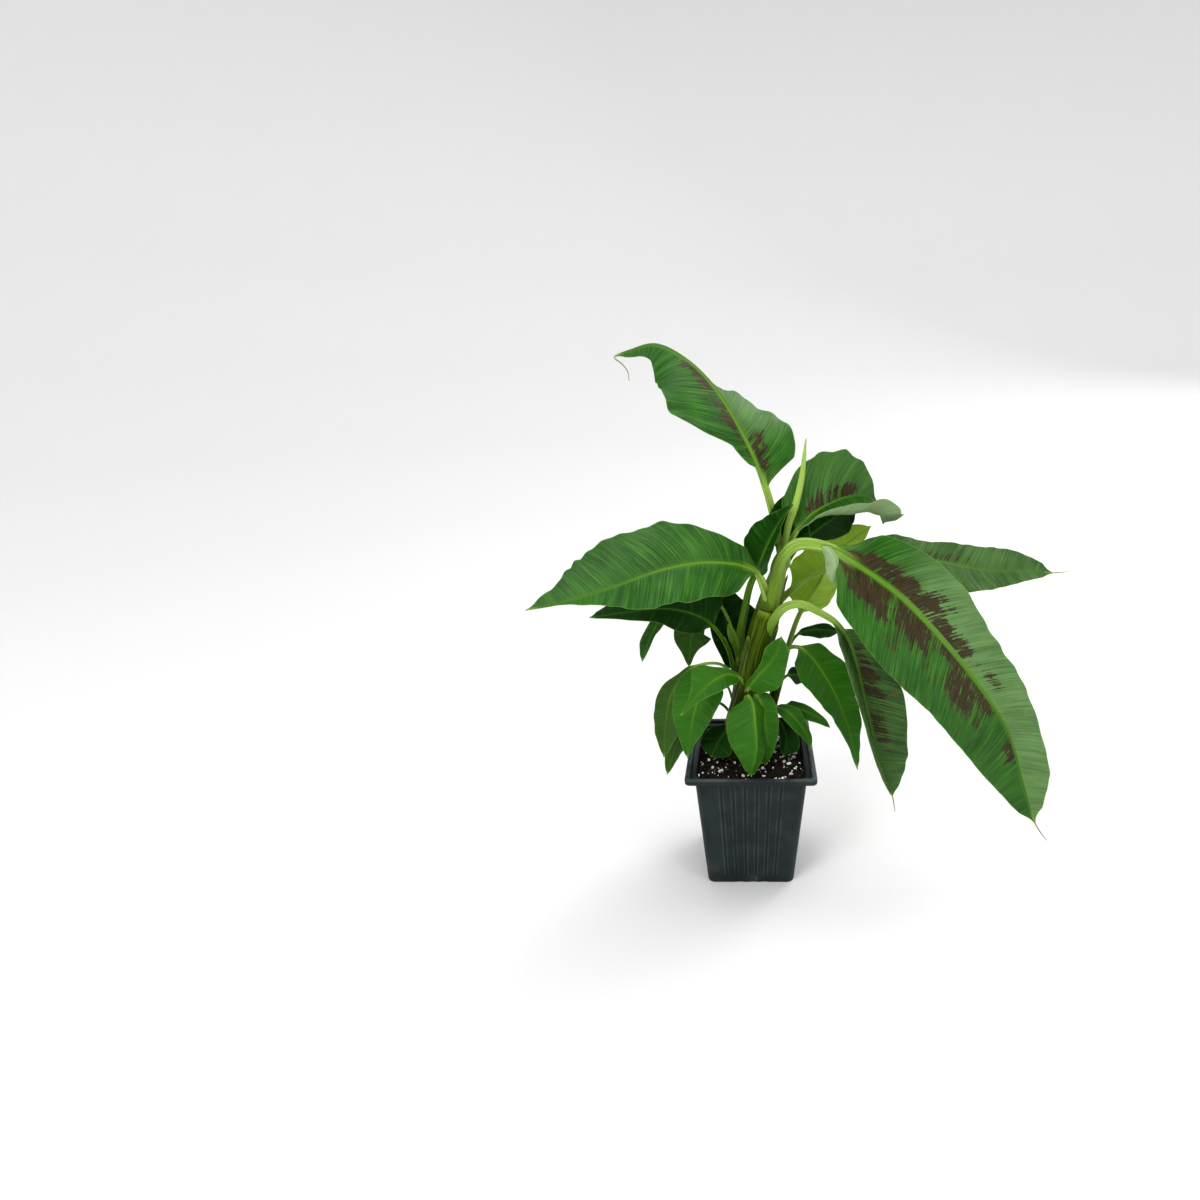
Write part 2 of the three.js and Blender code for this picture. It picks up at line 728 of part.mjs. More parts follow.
    face: [[0, -0.6, 0.8], [-0.3, -0.9, 0.3], [-0.2, -1, 0.1]],
    left: [3, 5, 5, 3, 2],
    right: [2, 3, 5, 6, 6],
    fold: [8],
    wave: [0.4, 2.5, 0.5],
  },
  {
    name: 'leaf_sheath_tip',
    path: [[-9, 17, 164], [-11, 12, 181], [-13, 8, 198], [-18, 6, 212]],
    blade: [1, 3],
    stalk: [1.4, 1.2],
    face: [[0.4, -0.9, -0.1]],
    left: [1, 2, 3, 4, 3],
    right: [1, 2, 2, 2, 2],
    fold: [20],
    wave: [0, 0, 0],
  },
  {
    name: 'leaf_low_right',
    path: [
      [15, 25, 122], [17, 13, 135], [21, 3, 142], [29, -6, 142], [37, -12, 136], [44, -16, 127], [48, -18, 116],
    ],
    blade: [2, 6],
    stalk: [1.4, 1.3],
    face: [[-0.6, -0.1, 0.8], [0.2, -0.7, 0.7], [0.4, -0.9, 0.3]],
    left: [3, 7, 6, 4, 3],
    right: [5, 7, 7, 6, 3],
    fold: [10],
    wave: [0.4, 2.5, 0],
  },
  {
    name: 'leaf_low_right_rear',
    path: [
      [14, 26, 115], [20, 17, 131], [29, 9, 140], [38, 3, 140], [47, -1, 138], [57, -5, 134], [64, -7, 128],
    ],
    blade: [2, 6],
    stalk: [1.3, 1.2],
    face: [[-0.6, -0.4, 0.7], [0, -0.7, 0.7], [0.3, -0.8, 0.6]],
    left: [4, 5, 4, 3, 2],
    right: [5, 6, 6, 5, 3],
    fold: [10],
    wave: [0.3, 2.5, 0],
  },
  {
    name: 'leaf_in_pot_right',
    path: [[12, 27, 107], [18, 15, 124], [24, 5, 127], [29, -6, 117], [26, -14, 106]],
    blade: [1.5, 4],
    stalk: [1.3, 1.2],
    face: [[-0.5, -0.1, 0.8], [0.1, -0.7, 0.7], [0, -0.8, 0.6]],
    left: [3, 5, 8, 10, 9],
    right: [2, 3, 5, 5, 4],
    fold: [8],
    wave: [0.3, 2, 0],
  },
  {
    name: 'leaf_in_pot_left',
    path: [[-11, 8, 112], [-16, 2, 124], [-20, -4, 123], [-26, -9, 117], [-32, -16, 106]],
    blade: [1.2, 4],
    stalk: [1.3, 1.2],
    face: [[0.3, -0.1, 0.9], [-0.2, -0.7, 0.6], [-0.2, -0.8, 0.6]],
    left: [5, 9, 12, 14, 12],
    right: [7, 10, 12, 13, 11],
    fold: [8],
    wave: [0.3, 2, 0],
  },
];

const BASE_ROUNDING = 0.5;
const TIP_TAPER = 0.85;
const DEFAULT_STEPS = 6;
const DEFAULT_COLUMNS = 2;

function envelope(t) {
  return t ** BASE_ROUNDING * (1 - t) ** TIP_TAPER;
}

function halfWidth(widths, start, at) {
  const t = (at - start) / (1 - start);
  if (t <= 0 || t >= 1) return 0;
  const scaled = widths.map((w, i) => w / envelope((i + 1) / (widths.length + 1)));
  return envelope(t) * throughKeys(scaled, t * (widths.length + 1) - 1);
}

// Middle of the blade's thickness at a share of the half width, and its slope there
function bladePoint(leaf, t, side, share) {
  const isRight = side > 0;
  const widths = isRight ? leaf.right : leaf.left;
  const start = (isRight ? leaf.startRight : leaf.startLeft) ?? 0;
  const folds = (isRight ? leaf.foldRight : leaf.foldLeft) ?? leaf.fold;
  const curls = (isRight ? leaf.curlRight : leaf.curlLeft) ?? leaf.curl ?? [0];
  const reach = halfWidth(widths, start, t);
  const fold = THREE.MathUtils.degToRad(eased(folds, t));
  const curl = THREE.MathUtils.degToRad(eased(curls, t)) || 1e-4;
  const angle = fold + curl * share;
  const x = (reach * (Math.sin(angle) - Math.sin(fold))) / curl;
  const y = (reach * (Math.cos(fold) - Math.cos(angle))) / curl;
  const [height, count, phase] = leaf.wave;
  const turns = count * t + phase + (isRight ? 0.37 : 0);
  const fade = Math.min(1, (1.5 * reach) / Math.max(...widths));
  const wave = height * share * share * Math.sin(2 * Math.PI * turns) * fade;
  return { x: x * side, y: y + wave, angle };
}

// Places along the blade, evenly spaced by length
function bladeStations(curve, spans, [from, to], count) {
  const fine = 80;
  const places = [];
  let length = 0;
  let before = curve.getPoint(from / spans);
  for (let i = 0; i <= fine; i += 1) {
    const u = (from + ((to - from) * i) / fine) / spans;
    const point = curve.getPoint(u);
    length += point.distanceTo(before);
    before = point;
    places.push({ u, length });
  }
  const stations = [];
  for (let i = 0; i <= count; i += 1) {
    const t = i / count;
    const k = places.findIndex((p) => p.length >= t * length - 1e-9);
    const next = places[k];
    const prior = places[Math.max(k - 1, 0)];
    const gap = next.length - prior.length;
    const f = gap > 0 ? (t * length - prior.length) / gap : 1;
    stations.push({ u: prior.u + (next.u - prior.u) * f, t });
  }
  return stations;
}

function leafStations(leaf, curve) {
  const spans = leaf.path.length - 1;
  const [from, to] = leaf.blade;
  const stations = [];
  const stalkSteps = Math.ceil(from * RINGS_PER_STALK_SPAN);
  for (let i = 0; i < stalkSteps; i += 1) stations.push({ u: (from * i) / stalkSteps / spans });
  stations.push(...bladeStations(curve, spans, leaf.blade, leaf.steps ?? DEFAULT_STEPS));
  for (let i = 1; i <= spans - to; i += 1) stations.push({ u: (to + i) / spans });
  return stations;
}

function stalkRadius(leaf, u) {
  const [from, to] = leaf.blade;
  const [first, second] = leaf.stalk;
  if (u < from) return first + ((second - first) * u) / from;
  if (u >= to) return THREAD_RADIUS;
  const left = (1 - (u - from) / (to - from)) ** 0.8;
  return second * left + THREAD_RADIUS * (1 - left);
}

// Direction the upper side looks at a place along the blade, square to the rib
function upperSide(leaf, t, along) {
  const parts = [0, 1, 2].map((k) => eased(leaf.face.map((f) => f[k]), t));
  const up = new THREE.Vector3(...parts);
  return up.addScaledVector(along, -up.dot(along)).normalize();
}

// Point of the closed section at a column from the left edge to the right one, on the upper
// face (face 1) or the lower one (face -1), as offsets to the right and upward
function sectionPoint(leaf, t, column, face, radius, grow) {
  const columns = leaf.columns ?? DEFAULT_COLUMNS;
  const side = column < 0 ? -1 : 1;
  const k = Math.abs(column);
  const turn = (Math.PI / 2) * (1 - k / (columns + 1.35));
  const flat = face > 0 ? 0.75 : 1;
  const tube = [side * radius * Math.cos(turn), face * radius * flat * Math.sin(turn)];
  if (t === undefined) return tube;
  const open = Math.min(1, t / 0.08, (1 - t) / 0.05);
  const thick = BLADE_THICKNESS / 2 + grow;
  const blade = bladePoint(leaf, t, side, Math.max(0, k - 1) / columns);
  const tilt = k > 1 ? blade.angle : 0;
  const keel = face < 0 && k === 0 ? KEEL_DEPTH * radius : 0;
  const rib = k > 0 ? side * radius * RIB_HALF_WIDTH : 0;
  const x = rib + blade.x - face * side * thick * Math.sin(tilt);
  const y = blade.y + face * thick * Math.cos(tilt) - keel;
  return [tube[0] * (1 - open) + x * open, tube[1] * (1 - open) + y * open];
}

function leafRings(leaf, grow) {
  const curve = pathCurve(leaf.path);
  const spans = leaf.path.length - 1;
  const columns = leaf.columns ?? DEFAULT_COLUMNS;
  const stations = leafStations(leaf, curve);
  const across = [];
  for (let c = -columns - 1; c <= columns + 1; c += 1) across.push(c);
  const back = [...across].reverse();

  return stations.map(({ u, t }, i) => {
    const along = curve.getTangent(u);
    const beyond = i === 0 ? -grow : (i === stations.length - 1) * grow;
    const centre = curve.getPoint(u).addScaledVector(along, beyond);
    const up = upperSide(leaf, t ?? (u * spans < leaf.blade[0] ? 0 : 1), along);
    const right = new THREE.Vector3().crossVectors(along, up);
    const radius = stalkRadius(leaf, u * spans) + grow;
    const point = (column, face) => {
      const [x, y] = sectionPoint(leaf, t, column, face, radius, grow);
      return centre.clone().addScaledVector(right, x).addScaledVector(up, y);
    };
    return [...across.map((c) => point(c, 1)), ...back.map((c) => point(c, -1))];
  });
}

function leafSolid(leaf, grow = 0) {
  const upperPoints = 2 * (leaf.columns ?? DEFAULT_COLUMNS) + 3;
  const solid = solidFromRings(leafRings(leaf, grow), upperPoints);
  return leaf.lobe ? solid.add(leafSolid(leaf.lobe, grow)) : solid;
}

// Assembly: each piece is cut clear of the ones placed before it

const YOUNG = ['leaf_young', 'leaf_spear'];

function clearOf(solid, placed) {
  const cut = placed.filter((other) => boxesMeet(other, solid)).reduce((rest, other) => rest.subtract(other), solid);
  return largestPiece(cut);
}

const plant = new THREE.Group();
const placed = [];

for (const stem of STEMS) {
  const finish = YOUNG.includes(stem.name) ? youngGreen : stemGreen;
  plant.add(meshFromSolid(stem.name, clearOf(stemSolid(stem), placed), finish));
  placed.push(stemSolid(stem, TOUCH_GAP));
}
const holes = [...placed];

for (const leaf of LEAVES) {
  const finish = YOUNG.includes(leaf.name) ? youngGreen : leafGreen;
  plant.add(meshFromSolid(leaf.name, clearOf(leafSolid(leaf), placed), finish));
  placed.push(leafSolid(leaf, TOUCH_GAP));
}

plant.add(soilNode(holes));
plant.add(potNode());

export default plant;
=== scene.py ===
"""Looks for the potted dwarf banana: fine leaves, sheathed stems, soil and a fluted nursery pot.

The tables are in millimetres, in the model's own frame: the origin is the middle of the pot's
underside, Z is up, and -Y is the side that the camera sees. Blender's objects are in metres.
"""
import math
import random
from types import SimpleNamespace

import bmesh
import bpy
import numpy as np
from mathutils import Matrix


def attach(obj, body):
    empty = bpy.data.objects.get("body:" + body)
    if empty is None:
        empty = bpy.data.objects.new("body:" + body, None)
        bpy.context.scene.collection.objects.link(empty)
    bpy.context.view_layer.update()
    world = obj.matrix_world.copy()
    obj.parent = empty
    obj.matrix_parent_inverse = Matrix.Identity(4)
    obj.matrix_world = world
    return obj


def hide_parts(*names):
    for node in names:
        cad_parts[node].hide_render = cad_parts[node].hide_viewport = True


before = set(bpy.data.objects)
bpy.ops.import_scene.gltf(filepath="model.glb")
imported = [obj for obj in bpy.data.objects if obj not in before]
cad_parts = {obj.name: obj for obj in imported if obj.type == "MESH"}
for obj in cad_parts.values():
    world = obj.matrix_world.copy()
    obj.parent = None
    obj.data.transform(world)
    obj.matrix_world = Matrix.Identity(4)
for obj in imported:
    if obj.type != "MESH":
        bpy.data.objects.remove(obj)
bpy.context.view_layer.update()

MM = 0.001

# Camera
CAMERA_PLACE = (0.0, -0.531, 0.411)
CAMERA_PITCH = 18.4
IMAGE_PX = 1200
FOCAL_PX = 725
AXIS_PX = 751
SENSOR_WIDTH = 36.0

# Fineness of the leaves
ROW_GAP = 1.8
STALK_ROW_GAP = 1.6
COLUMN_GAP = 2.2
THREAD_RADIUS = 0.5
THREAD_END_RADIUS = 0.22
RIB_HALF_WIDTH = 0.8
KEEL_DEPTH = 1.1
BLADE_HALF_THICKNESS = 0.3
MARGIN_HALF_THICKNESS = 0.17
RIM_WIDTH = 0.55
PLEAT_HEIGHT = 0.24
PLEAT_LENGTH = 6.5
RUFFLE_HEIGHT = 1.3
RUFFLE_LENGTH = 12
VEIN_LEAN = 0.42
VEIN_BEND = 0.004
BASE_ROUNDING = 0.5
TIP_TAPER = 0.85
STALK_SPREAD = 1.35
STALK_FLATNESS = 0.75
STALK_LINE = 0.86
STALK_LINE_WIDTH = 0.16
RIB_REACH = 1.35
CHANNEL_DEPTH = 0.85
CHANNEL_WIDTH = 0.55
CHANNEL_START = -70
CHANNEL_FULL = -10
RIB_SINK = 0.22
WAVE_SHIFT = 0.37
WIDE_HALF = 30
PATCH_SOFT_ALONG = 0.035
PATCH_SOFT_ACROSS = 0.14
CURVE_STEPS = 60
OPENING_AT_BASE = 0.08
OPENING_AT_TIP = 0.05

# Pot
POT_HEIGHT = 106
RIM_HALF = 51
RIM_INNER_HALF = 47
RIM_SKIRT = 4.6
SKIRT_BOTTOM = POT_HEIGHT - RIM_SKIRT
RIM_CORNER = 4
RIM_INNER_CORNER = 2.5
WALL_TOP_HALF = 44
WALL_BOTTOM_HALF = 35.5
WALL_CORNER = 6
WALL_THICKNESS = 1.3
FLOOR_THICKNESS = 1.6
SHELF_THICKNESS = 1.4
FOOT_ROUNDING = 1.2
CORNER_POINTS = 10
SIDE_POINTS = 73
FLUTES_PER_SIDE = 6
FLUTE_PITCH = 9.6
FLUTE_HALF_WIDTH = 1.5
FLUTE_DEPTH = 0.6
FLUTE_BOTTOM = 8
FLUTE_TOP = 98
DRAIN_HOLE_RADIUS = 4
DRAIN_HOLE_OFFSET = 18
NOTCH_RADIUS = 9
NOTCH_HEIGHT = 1.1
NOTCH_DEPTH = 1.6
NOTCH_OFFSETS = (-9, 2, 11)
CUTTER_SIDES = 48

# Soil
SOIL_TOP = 99
SOIL_GAP = 0.3
SOIL_RINGS = 75
# Grains on the soil: count, seed of the draws, material, least and most radius, shape, lumps, how
# far the middle stands above the soil as a share of the radius, and fineness
CRUMBS = (620, 21, 0, (0.5, 1.7), (1, 0.9, 0.7), 0.16, 0.15, 2)
PERLITE_GRAINS = (300, 22, 1, (0.4, 1.8), (1, 0.8, 0.7), 0.14, 0.35, 3)
BARK_BITS = (70, 23, 2, (1.0, 3.2), (1, 0.35, 0.18), 0.1, 0.12, 2)

# Colours, as linear red, green and blue
LIME = (0.17, 0.34, 0.018)
DEEP_LIME = (0.05, 0.16, 0.008)
PALE_LIME = (0.44, 0.60, 0.15)
# Darker, yellower green at the stalk's foot: its own colour, with painted shade where it meets the stem
STALK_FOOT_SHADE = (0.12, 0.22, 0.004)
PALE_RIM = (0.26, 0.38, 0.10)
# Pale veins, with a painted sheen along them
PALE_VEIN_SHEEN = (0.14, 0.29, 0.07)
SHEEN = (0.20, 0.34, 0.13)
MAROON = (0.028, 0.010, 0.004)
LIGHT_MAROON = (0.088, 0.052, 0.024)
DRY = (0.20, 0.10, 0.035)
LEAF_COLOURS = {
    # kind: deep green, bright green, underside, share of lime on the rib, softness of the streaks
    "mature": ((0.006, 0.060, 0.001), (0.036, 0.180, 0.004), (0.30, 0.43, 0.21), 0.9, 0.15),
    "bright": ((0.012, 0.084, 0.001), (0.052, 0.225, 0.003), (0.10, 0.24, 0.02), 0.8, 0.32),
    "olive": ((0.014, 0.062, 0.001), (0.054, 0.155, 0.003), (0.10, 0.18, 0.02), 0.6, 0.28),
    # A duller green made lighter and greyer: the leaves' own colour with a painted sheen over it
    "greyed": ((0.026, 0.080, 0.014), (0.095, 0.200, 0.050), (0.22, 0.33, 0.13), 0.6, 0.14),
    # These two kinds are darker copies of the greens: painted shade for leaves lying in shade among the
    # others
    "inner": ((0.003, 0.036, 0.001), (0.014, 0.105, 0.002), (0.05, 0.15, 0.01), 0.5, 0.16),
    "dark": ((0.002, 0.022, 0.001), (0.010, 0.074, 0.001), (0.03, 0.08, 0.01), 0.4, 0.20),
    "young": ((0.10, 0.27, 0.015), (0.24, 0.43, 0.05), (0.50, 0.76, 0.07), 0.6, 0.20),
    "pale": ((0.26, 0.39, 0.17), (0.42, 0.55, 0.30), (0.36, 0.50, 0.24), 0.1, 0.14),
}
SHADED_KINDS = ("inner", "dark")
LEAF_GLOW = 0.10
YOUNG_GLOW = 0.25
LEAF_SHINE = 0.28
SHADED_SHINE = 0.12
SHEATH_COLOURS = ((0.014, 0.034, 0.0), (0.090, 0.150, 0.0), (0.24, 0.32, 0.03))
SPEAR_COLOURS = ((0.14, 0.30, 0.03), (0.27, 0.44, 0.07), PALE_RIM)
BLUSH = (0.085, 0.034, 0.005)
PLASTIC = ((0.008, 0.014, 0.015), (0.019, 0.030, 0.030))
WORN_PLASTIC = (0.085, 0.110, 0.112)
# Painted shade in the flute grooves, and painted highlights on the edges beside them
GROOVE_SHADE_PLASTIC = (0.006, 0.010, 0.011)
RIDGE_HIGHLIGHT_PLASTIC = (0.060, 0.082, 0.082)
# Painted highlight along the top of the rim
RIM_HIGHLIGHT_PLASTIC = (0.11, 0.14, 0.14)
DRIED_SPLASH = (0.12, 0.11, 0.09)
EARTH = ((0.003, 0.0025, 0.0015), (0.026, 0.021, 0.013))
PERLITE = ((0.66, 0.65, 0.61), (0.93, 0.92, 0.88))
BARK = ((0.018, 0.012, 0.006), (0.075, 0.052, 0.028))
PAPER = ((0.77, 0.77, 0.77), (0.80, 0.80, 0.80))

# Soil materials: name, colours, scale and depth of the relief, roughness
SOIL_LOOKS = [
    ("soil_earth", EARTH, 1800.0, 0.0006, 0.95),
    ("soil_perlite", PERLITE, 2400.0, 0.0003, 0.8),
    ("soil_bark", BARK, 1500.0, 0.0004, 0.85),
]

# Studio. The floor's outline is radius and height in metres. A light is its name, its place, what
# it looks at, its size and its power.
FLOOR_SIDES = 96
FLOOR_OUTLINE = [
    (0.6, 0.0), (0.9, 0.01), (1.3, 0.06), (1.7, 0.19), (2.0, 0.38), (2.25, 0.68), (2.4, 1.1), (2.45, 1.7),
]
PLANT_MIDDLE = (0.02, 0.0, 0.2)
LIGHTS = [
    ("key", (-0.9, -1.2, 1.5), PLANT_MIDDLE, 0.9, 15),
    ("fill", (1.3, -1.0, 0.9), PLANT_MIDDLE, 1.0, 6),
    ("over", (0.1, 0.3, 1.9), PLANT_MIDDLE, 1.2, 10),
    ("rear", (1.1, 1.1, 1.1), PLANT_MIDDLE, 1.0, 9),
    ("backdrop", (0.0, 0.4, 1.9), (0.0, 2.3, 0.5), 1.2, 6),
]
WORLD_LEVEL = 0.42

# Leaves. path: points from the stem to the tip. blade: the points between which the blade runs.
# stalk: radius at the stem and at the blade. face: way the upper side looks, along the blade.
# left and right: half widths at even places along the blade, seen from above with the tip ahead.
# fold: how far each half rises from the rib, in degrees, along the blade. curl: how far it bends
# on the way to its edge. start_left: where the left half begins, as a share of the blade. wave:
# height, number and start of the waves along the edge. sheen: how far a painted sheen greys the
# left and the right half. columns: how far round the stalk the blade's inner columns reach. lobe:
# a pale second blade of the same leaf.
LEAVES = [
    dict(
        name="leaf_top", kind="mature",
        path=[
            (24, 3, 265), (17, 12, 298), (11, 15, 319), (-2, 24, 349), (-26, 38, 388),
            (-49, 48, 410), (-73, 54, 421), (-92, 56, 417), (-105, 56, 412), (-100, 55, 408),
            (-95, 54, 402), (-94, 53, 395),
        ],
        blade=(2, 8), stalk=(3.4, 2.8),
        face=[(0.3, -0.9, 0.3), (0.4, -0.6, 0.6), (-0.3, -0.9, 0.3)],
        left=[10, 33, 46, 42, 33, 18, 6], right=[35, 37, 30, 22, 18, 13, 8],
        fold_left=[14, 10, 0], fold_right=[8, 2, -8, -70, -80, -60], curl=[-10, -15, -10],
        start_left=0.1,
        wave=(2.2, 3.5, 0.1), sheen=(0.05, 0.4),
    ),
    dict(
        name="leaf_front_left", kind="mature",
        path=[
            (15, -4, 232), (10, -9, 248), (4, -12, 260), (-8, -17, 267), (-35, -28, 272),
            (-63, -40, 270), (-96, -52, 261), (-124, -60, 254), (-153, -66, 249),
        ],
        blade=(2, 8), stalk=(5, 2.6),
        face=[(0.6, -0.8, 0.2), (0.1, -0.7, 0.7), (0, -0.6, 0.8)],
        left=[22, 25, 28, 27, 20, 8, 1], right=[14, 24, 32, 34, 34, 29, 14],
        fold=[18, 14, 8], curl=[-15, -15, -10],
        wave=(2, 4.5, 0.2), sheen=(0.05, 0.15),
    ),
    dict(
        name="leaf_big_right", kind="mature",
        path=[
            (15, -5, 226), (18, -9, 247), (21, -11, 268), (32, -14, 281), (44, -17, 283),
            (60, -20, 279), (73, -24, 272), (107, -32, 249), (141, -39, 215), (170, -44, 180),
            (192, -47, 147), (209, -48, 101), (223, -47, 65), (234, -46, 49),
        ],
        blade=(5, 12), stalk=(5.5, 4.2),
        face=[(-0.1, -0.9, 0.4), (0.2, -0.9, 0.3), (-0.1, -1, -0.1)],
        left=[29, 34, 32, 28, 25, 21, 17], right=[36, 45, 45, 42, 38, 31, 17],
        fold=[20, 14, 8], curl=[-15, -15, -10],
        wave=(1.6, 4, 0), sheen=(0.75, 0.08),
        lobe=dict(
            path=[(52, -20, 282), (57, -25, 279), (60, -28, 272), (60, -28, 264), (60, -26, 255)],
            blade=(0, 4), stalk=(1, 1),
            face=[(0.2, -0.9, 0.4), (0.1, -1, 0.1), (0.1, -1, 0)],
            left=[5, 6, 5], right=[6, 8, 6],
            fold=[-30, -35, -20], curl=[-30],
            wave=(0.8, 2.5, 0),
        ),
    ),
    dict(
        name="leaf_rear_right", kind="greyed",
        path=[
            (19, 2, 229), (30, 7, 239), (43, 13, 247), (61, 19, 254), (93, 27, 258), (124, 33, 259),
            (154, 37, 255), (192, 40, 247), (225, 42, 246), (249, 42, 244), (261, 42, 245),
        ],
        blade=(3.5, 9), stalk=(2.8, 2.2),
        face=[(0.1, -0.6, 0.8), (0.2, -0.7, 0.7), (0, -0.7, 0.7)],
        left=[18, 19, 16, 17, 20, 19, 15], right=[16, 21, 24, 26, 22, 14, 9],
        fold=[12, 6, 4],
        wave=(1.2, 4, 0.3),
    ),
    dict(
        name="leaf_saddle", kind="mature",
        path=[
            (27, 1, 261), (28, 0, 276), (34, 0, 289), (41, 3, 297), (51, 7, 304), (61, 12, 308),
            (74, 17, 312), (89, 22, 311), (99, 26, 301), (104, 28, 288),
        ],
        blade=(2, 9), stalk=(3, 2.4),
        face=[(-0.7, -0.5, 0.5), (-0.1, -0.2, 1), (0.7, 0.2, 0.7)],
        left=[24, 33, 36, 36, 26, 4, 2], right=[8, 22, 34, 40, 38],
        fold_left=[40, 80, 80], fold_right=[-60, -80, -60, -15], curl_right=[150, 180, 140, 50],
        wave=(1.2, 3, 0), sheen=(0.25, 0), columns=3,
    ),
    dict(
        name="leaf_left_trough", kind="inner",
        path=[
            (-9, 17, 178), (-9, 16, 198), (-6, 12, 218), (-1, 6, 244), (5, 2, 259), (11, -2, 276),
            (19, -4, 293), (26, -5, 304), (31, -5, 310),
        ],
        blade=(4, 8), stalk=(4.5, 2.4),
        face=[(-0.8, -0.6, 0.1), (-0.7, -0.7, 0.3), (-0.6, -0.5, 0.5)],
        left=[13, 17, 15, 10, 5], right=[21, 20, 17, 13, 7],
        fold_left=[35], fold_right=[30, 35, 40],
        wave=(0.6, 2, 0),
    ),
    dict(
        name="leaf_narrow_top", kind="inner",
        path=[(26, 3, 261), (26, 6, 271), (28, 11, 285), (31, 16, 303), (36, 18, 323)],
        blade=(1, 4), stalk=(1.8, 1.4),
        face=[(0, -0.9, 0.4), (-0.1, -1, 0.2), (-0.1, -1, 0.1)],
        left=[16, 19, 16, 12, 5], right=[19, 17, 14, 10, 5],
        fold=[30, 25, 20],
        wave=(0.4, 2, 0),
    ),
    dict(
        name="leaf_rear_dark", kind="dark",
        path=[(24, 1, 254), (31, 8, 267), (43, 16, 279), (60, 22, 291), (81, 25, 304)],
        blade=(2, 4), stalk=(1.8, 1.4),
        face=[(-0.2, -0.7, 0.7), (-0.3, -0.7, 0.6), (-0.3, -0.7, 0.7)],
        left=[7, 9, 8, 7, 4], right=[12, 18, 21, 19, 13],
        fold=[15],
        wave=(0.6, 2, 0),
    ),
    dict(
        name="leaf_young", kind="young",
        path=[
            (29, 24, 178), (32, 23, 192), (38, 22, 212), (45, 23, 226), (54, 25, 240),
            (63, 28, 259), (79, 33, 273), (96, 38, 284),
        ],
        blade=(2.3, 7), stalk=(2.4, 2),
        face=[(-0.2, 1, 0), (-0.5, 0.9, 0.1), (-0.4, 0.9, 0.1)],
        left=[23, 24, 23, 21, 15], right=[17, 26, 22, 14, 11],
        fold=[20],
        wave=(0.8, 2.5, 0),
    ),
    dict(
        name="leaf_right_drooping", kind="greyed",
        path=[
            (10, -4, 199), (15, -12, 218), (25, -17, 234), (37, -21, 238), (50, -24, 233),
            (62, -26, 226), (72, -28, 214), (78, -31, 198), (85, -34, 172), (94, -36, 138),
            (102, -36, 111), (112, -36, 82), (115, -35, 68),
        ],
        blade=(5, 11), stalk=(4, 2.4),
        face=[(-0.1, -1, 0.1), (0, -1, 0.1), (0.2, -1, 0)],
        left=[14, 26, 27, 23, 17], right=[23, 30, 31, 28, 19],
        fold_left=[10, 8, 5], fold_right=[75, 80, 75], start_left=0.06,
        wave=(1.2, 3, 0.1),
    ),
    dict(
        name="leaf_rear_drooping", kind="bright",
        path=[
            (27, 24, 170), (29, 16, 187), (38, 8, 192), (48, 1, 186), (64, -6, 163), (78, -11, 130),
            (87, -13, 93),
        ],
        blade=(2, 6), stalk=(2, 1.8),
        face=[(-0.2, -0.3, 0.9), (0.5, -0.8, 0.3), (0.5, -0.9, 0.2)],
        left=[15, 20, 16, 12, 6], right=[21, 18, 13, 8, 3],
        fold=[12, 8, 5],
        wave=(0.8, 3, 0.2),
    ),
    dict(
        name="leaf_small_behind_right", kind="dark",
        path=[(28, 26, 169), (31, 27, 183), (39, 29, 195), (53, 32, 198), (73, 35, 195)],
        blade=(2, 4), stalk=(1.4, 1.2),
        face=[(-0.2, -0.8, 0.6), (0.2, -0.7, 0.7)],
        left=[2, 3, 4, 5, 4], right=[4, 6, 8, 7, 5],
        fold=[10],
        wave=(0.3, 2, 0),
    ),
    dict(
        name="leaf_small_low_right", kind="dark",
        path=[(20, 28, 135), (24, 30, 149), (31, 33, 156), (44, 37, 154), (63, 41, 146)],
        blade=(2, 4), stalk=(1.4, 1.2),
        face=[(0, -0.7, 0.7), (0.4, -0.7, 0.6)],
        left=[6, 4, 3, 2, 1], right=[9, 7, 5, 3, 1],
        fold=[10],
        wave=(0.3, 2, 0),
    ),
    dict(
        name="leaf_front_upright", kind="bright",
        path=[
            (-6, -3, 149), (-3, -12, 164), (5, -18, 178), (15, -20, 191), (20, -21, 201),
            (23, -20, 212),
        ],
        blade=(1, 5), stalk=(1.8, 1.6),
        face=[(-0.2, -0.9, -0.4), (-0.1, -1, 0), (0, -1, 0.1)],
        left=[3, 3, 5, 8, 8], right=[11, 16, 16, 11, 8],
        fold=[20, 15, 15],
        wave=(0.5, 2, 0),
    ),
    dict(
        name="leaf_front_hanging", kind="bright",
        path=[
            (-6, -4, 142), (-3, -14, 160), (1, -22, 157), (3, -30, 143), (4, -36, 124),
            (0, -40, 103),
        ],
        blade=(1.2, 5), stalk=(1.8, 1.8),
        face=[(-0.2, -0.1, 1), (0, -1, 0.3), (0, -1, 0.2)],
        left=[19, 21, 19, 13, 6], right=[18, 21, 21, 18, 11],
        fold_left=[-60, -70, -30], fold_right=[-5, -5, 0],
        wave=(0.5, 2.5, 0),
    ),
    dict(
        name="leaf_front_second", kind="bright",
        path=[
            (-3, -5, 147), (2, -8, 160), (7, -12, 155), (11, -17, 140), (13, -21, 121),
            (11, -24, 103),
        ],
        blade=(1.2, 5), stalk=(1.8, 1.8),
        face=[(-0.1, -0.7, 0.7), (0.1, -1, 0.2), (0, -1, 0.2)],
        left=[9, 10, 9, 7, 4], right=[7, 8, 8, 6, 4],
        fold=[5],
        wave=(0.5, 2.5, 0.3),
    ),
    dict(
        name="leaf_small_left", kind="bright",
        path=[
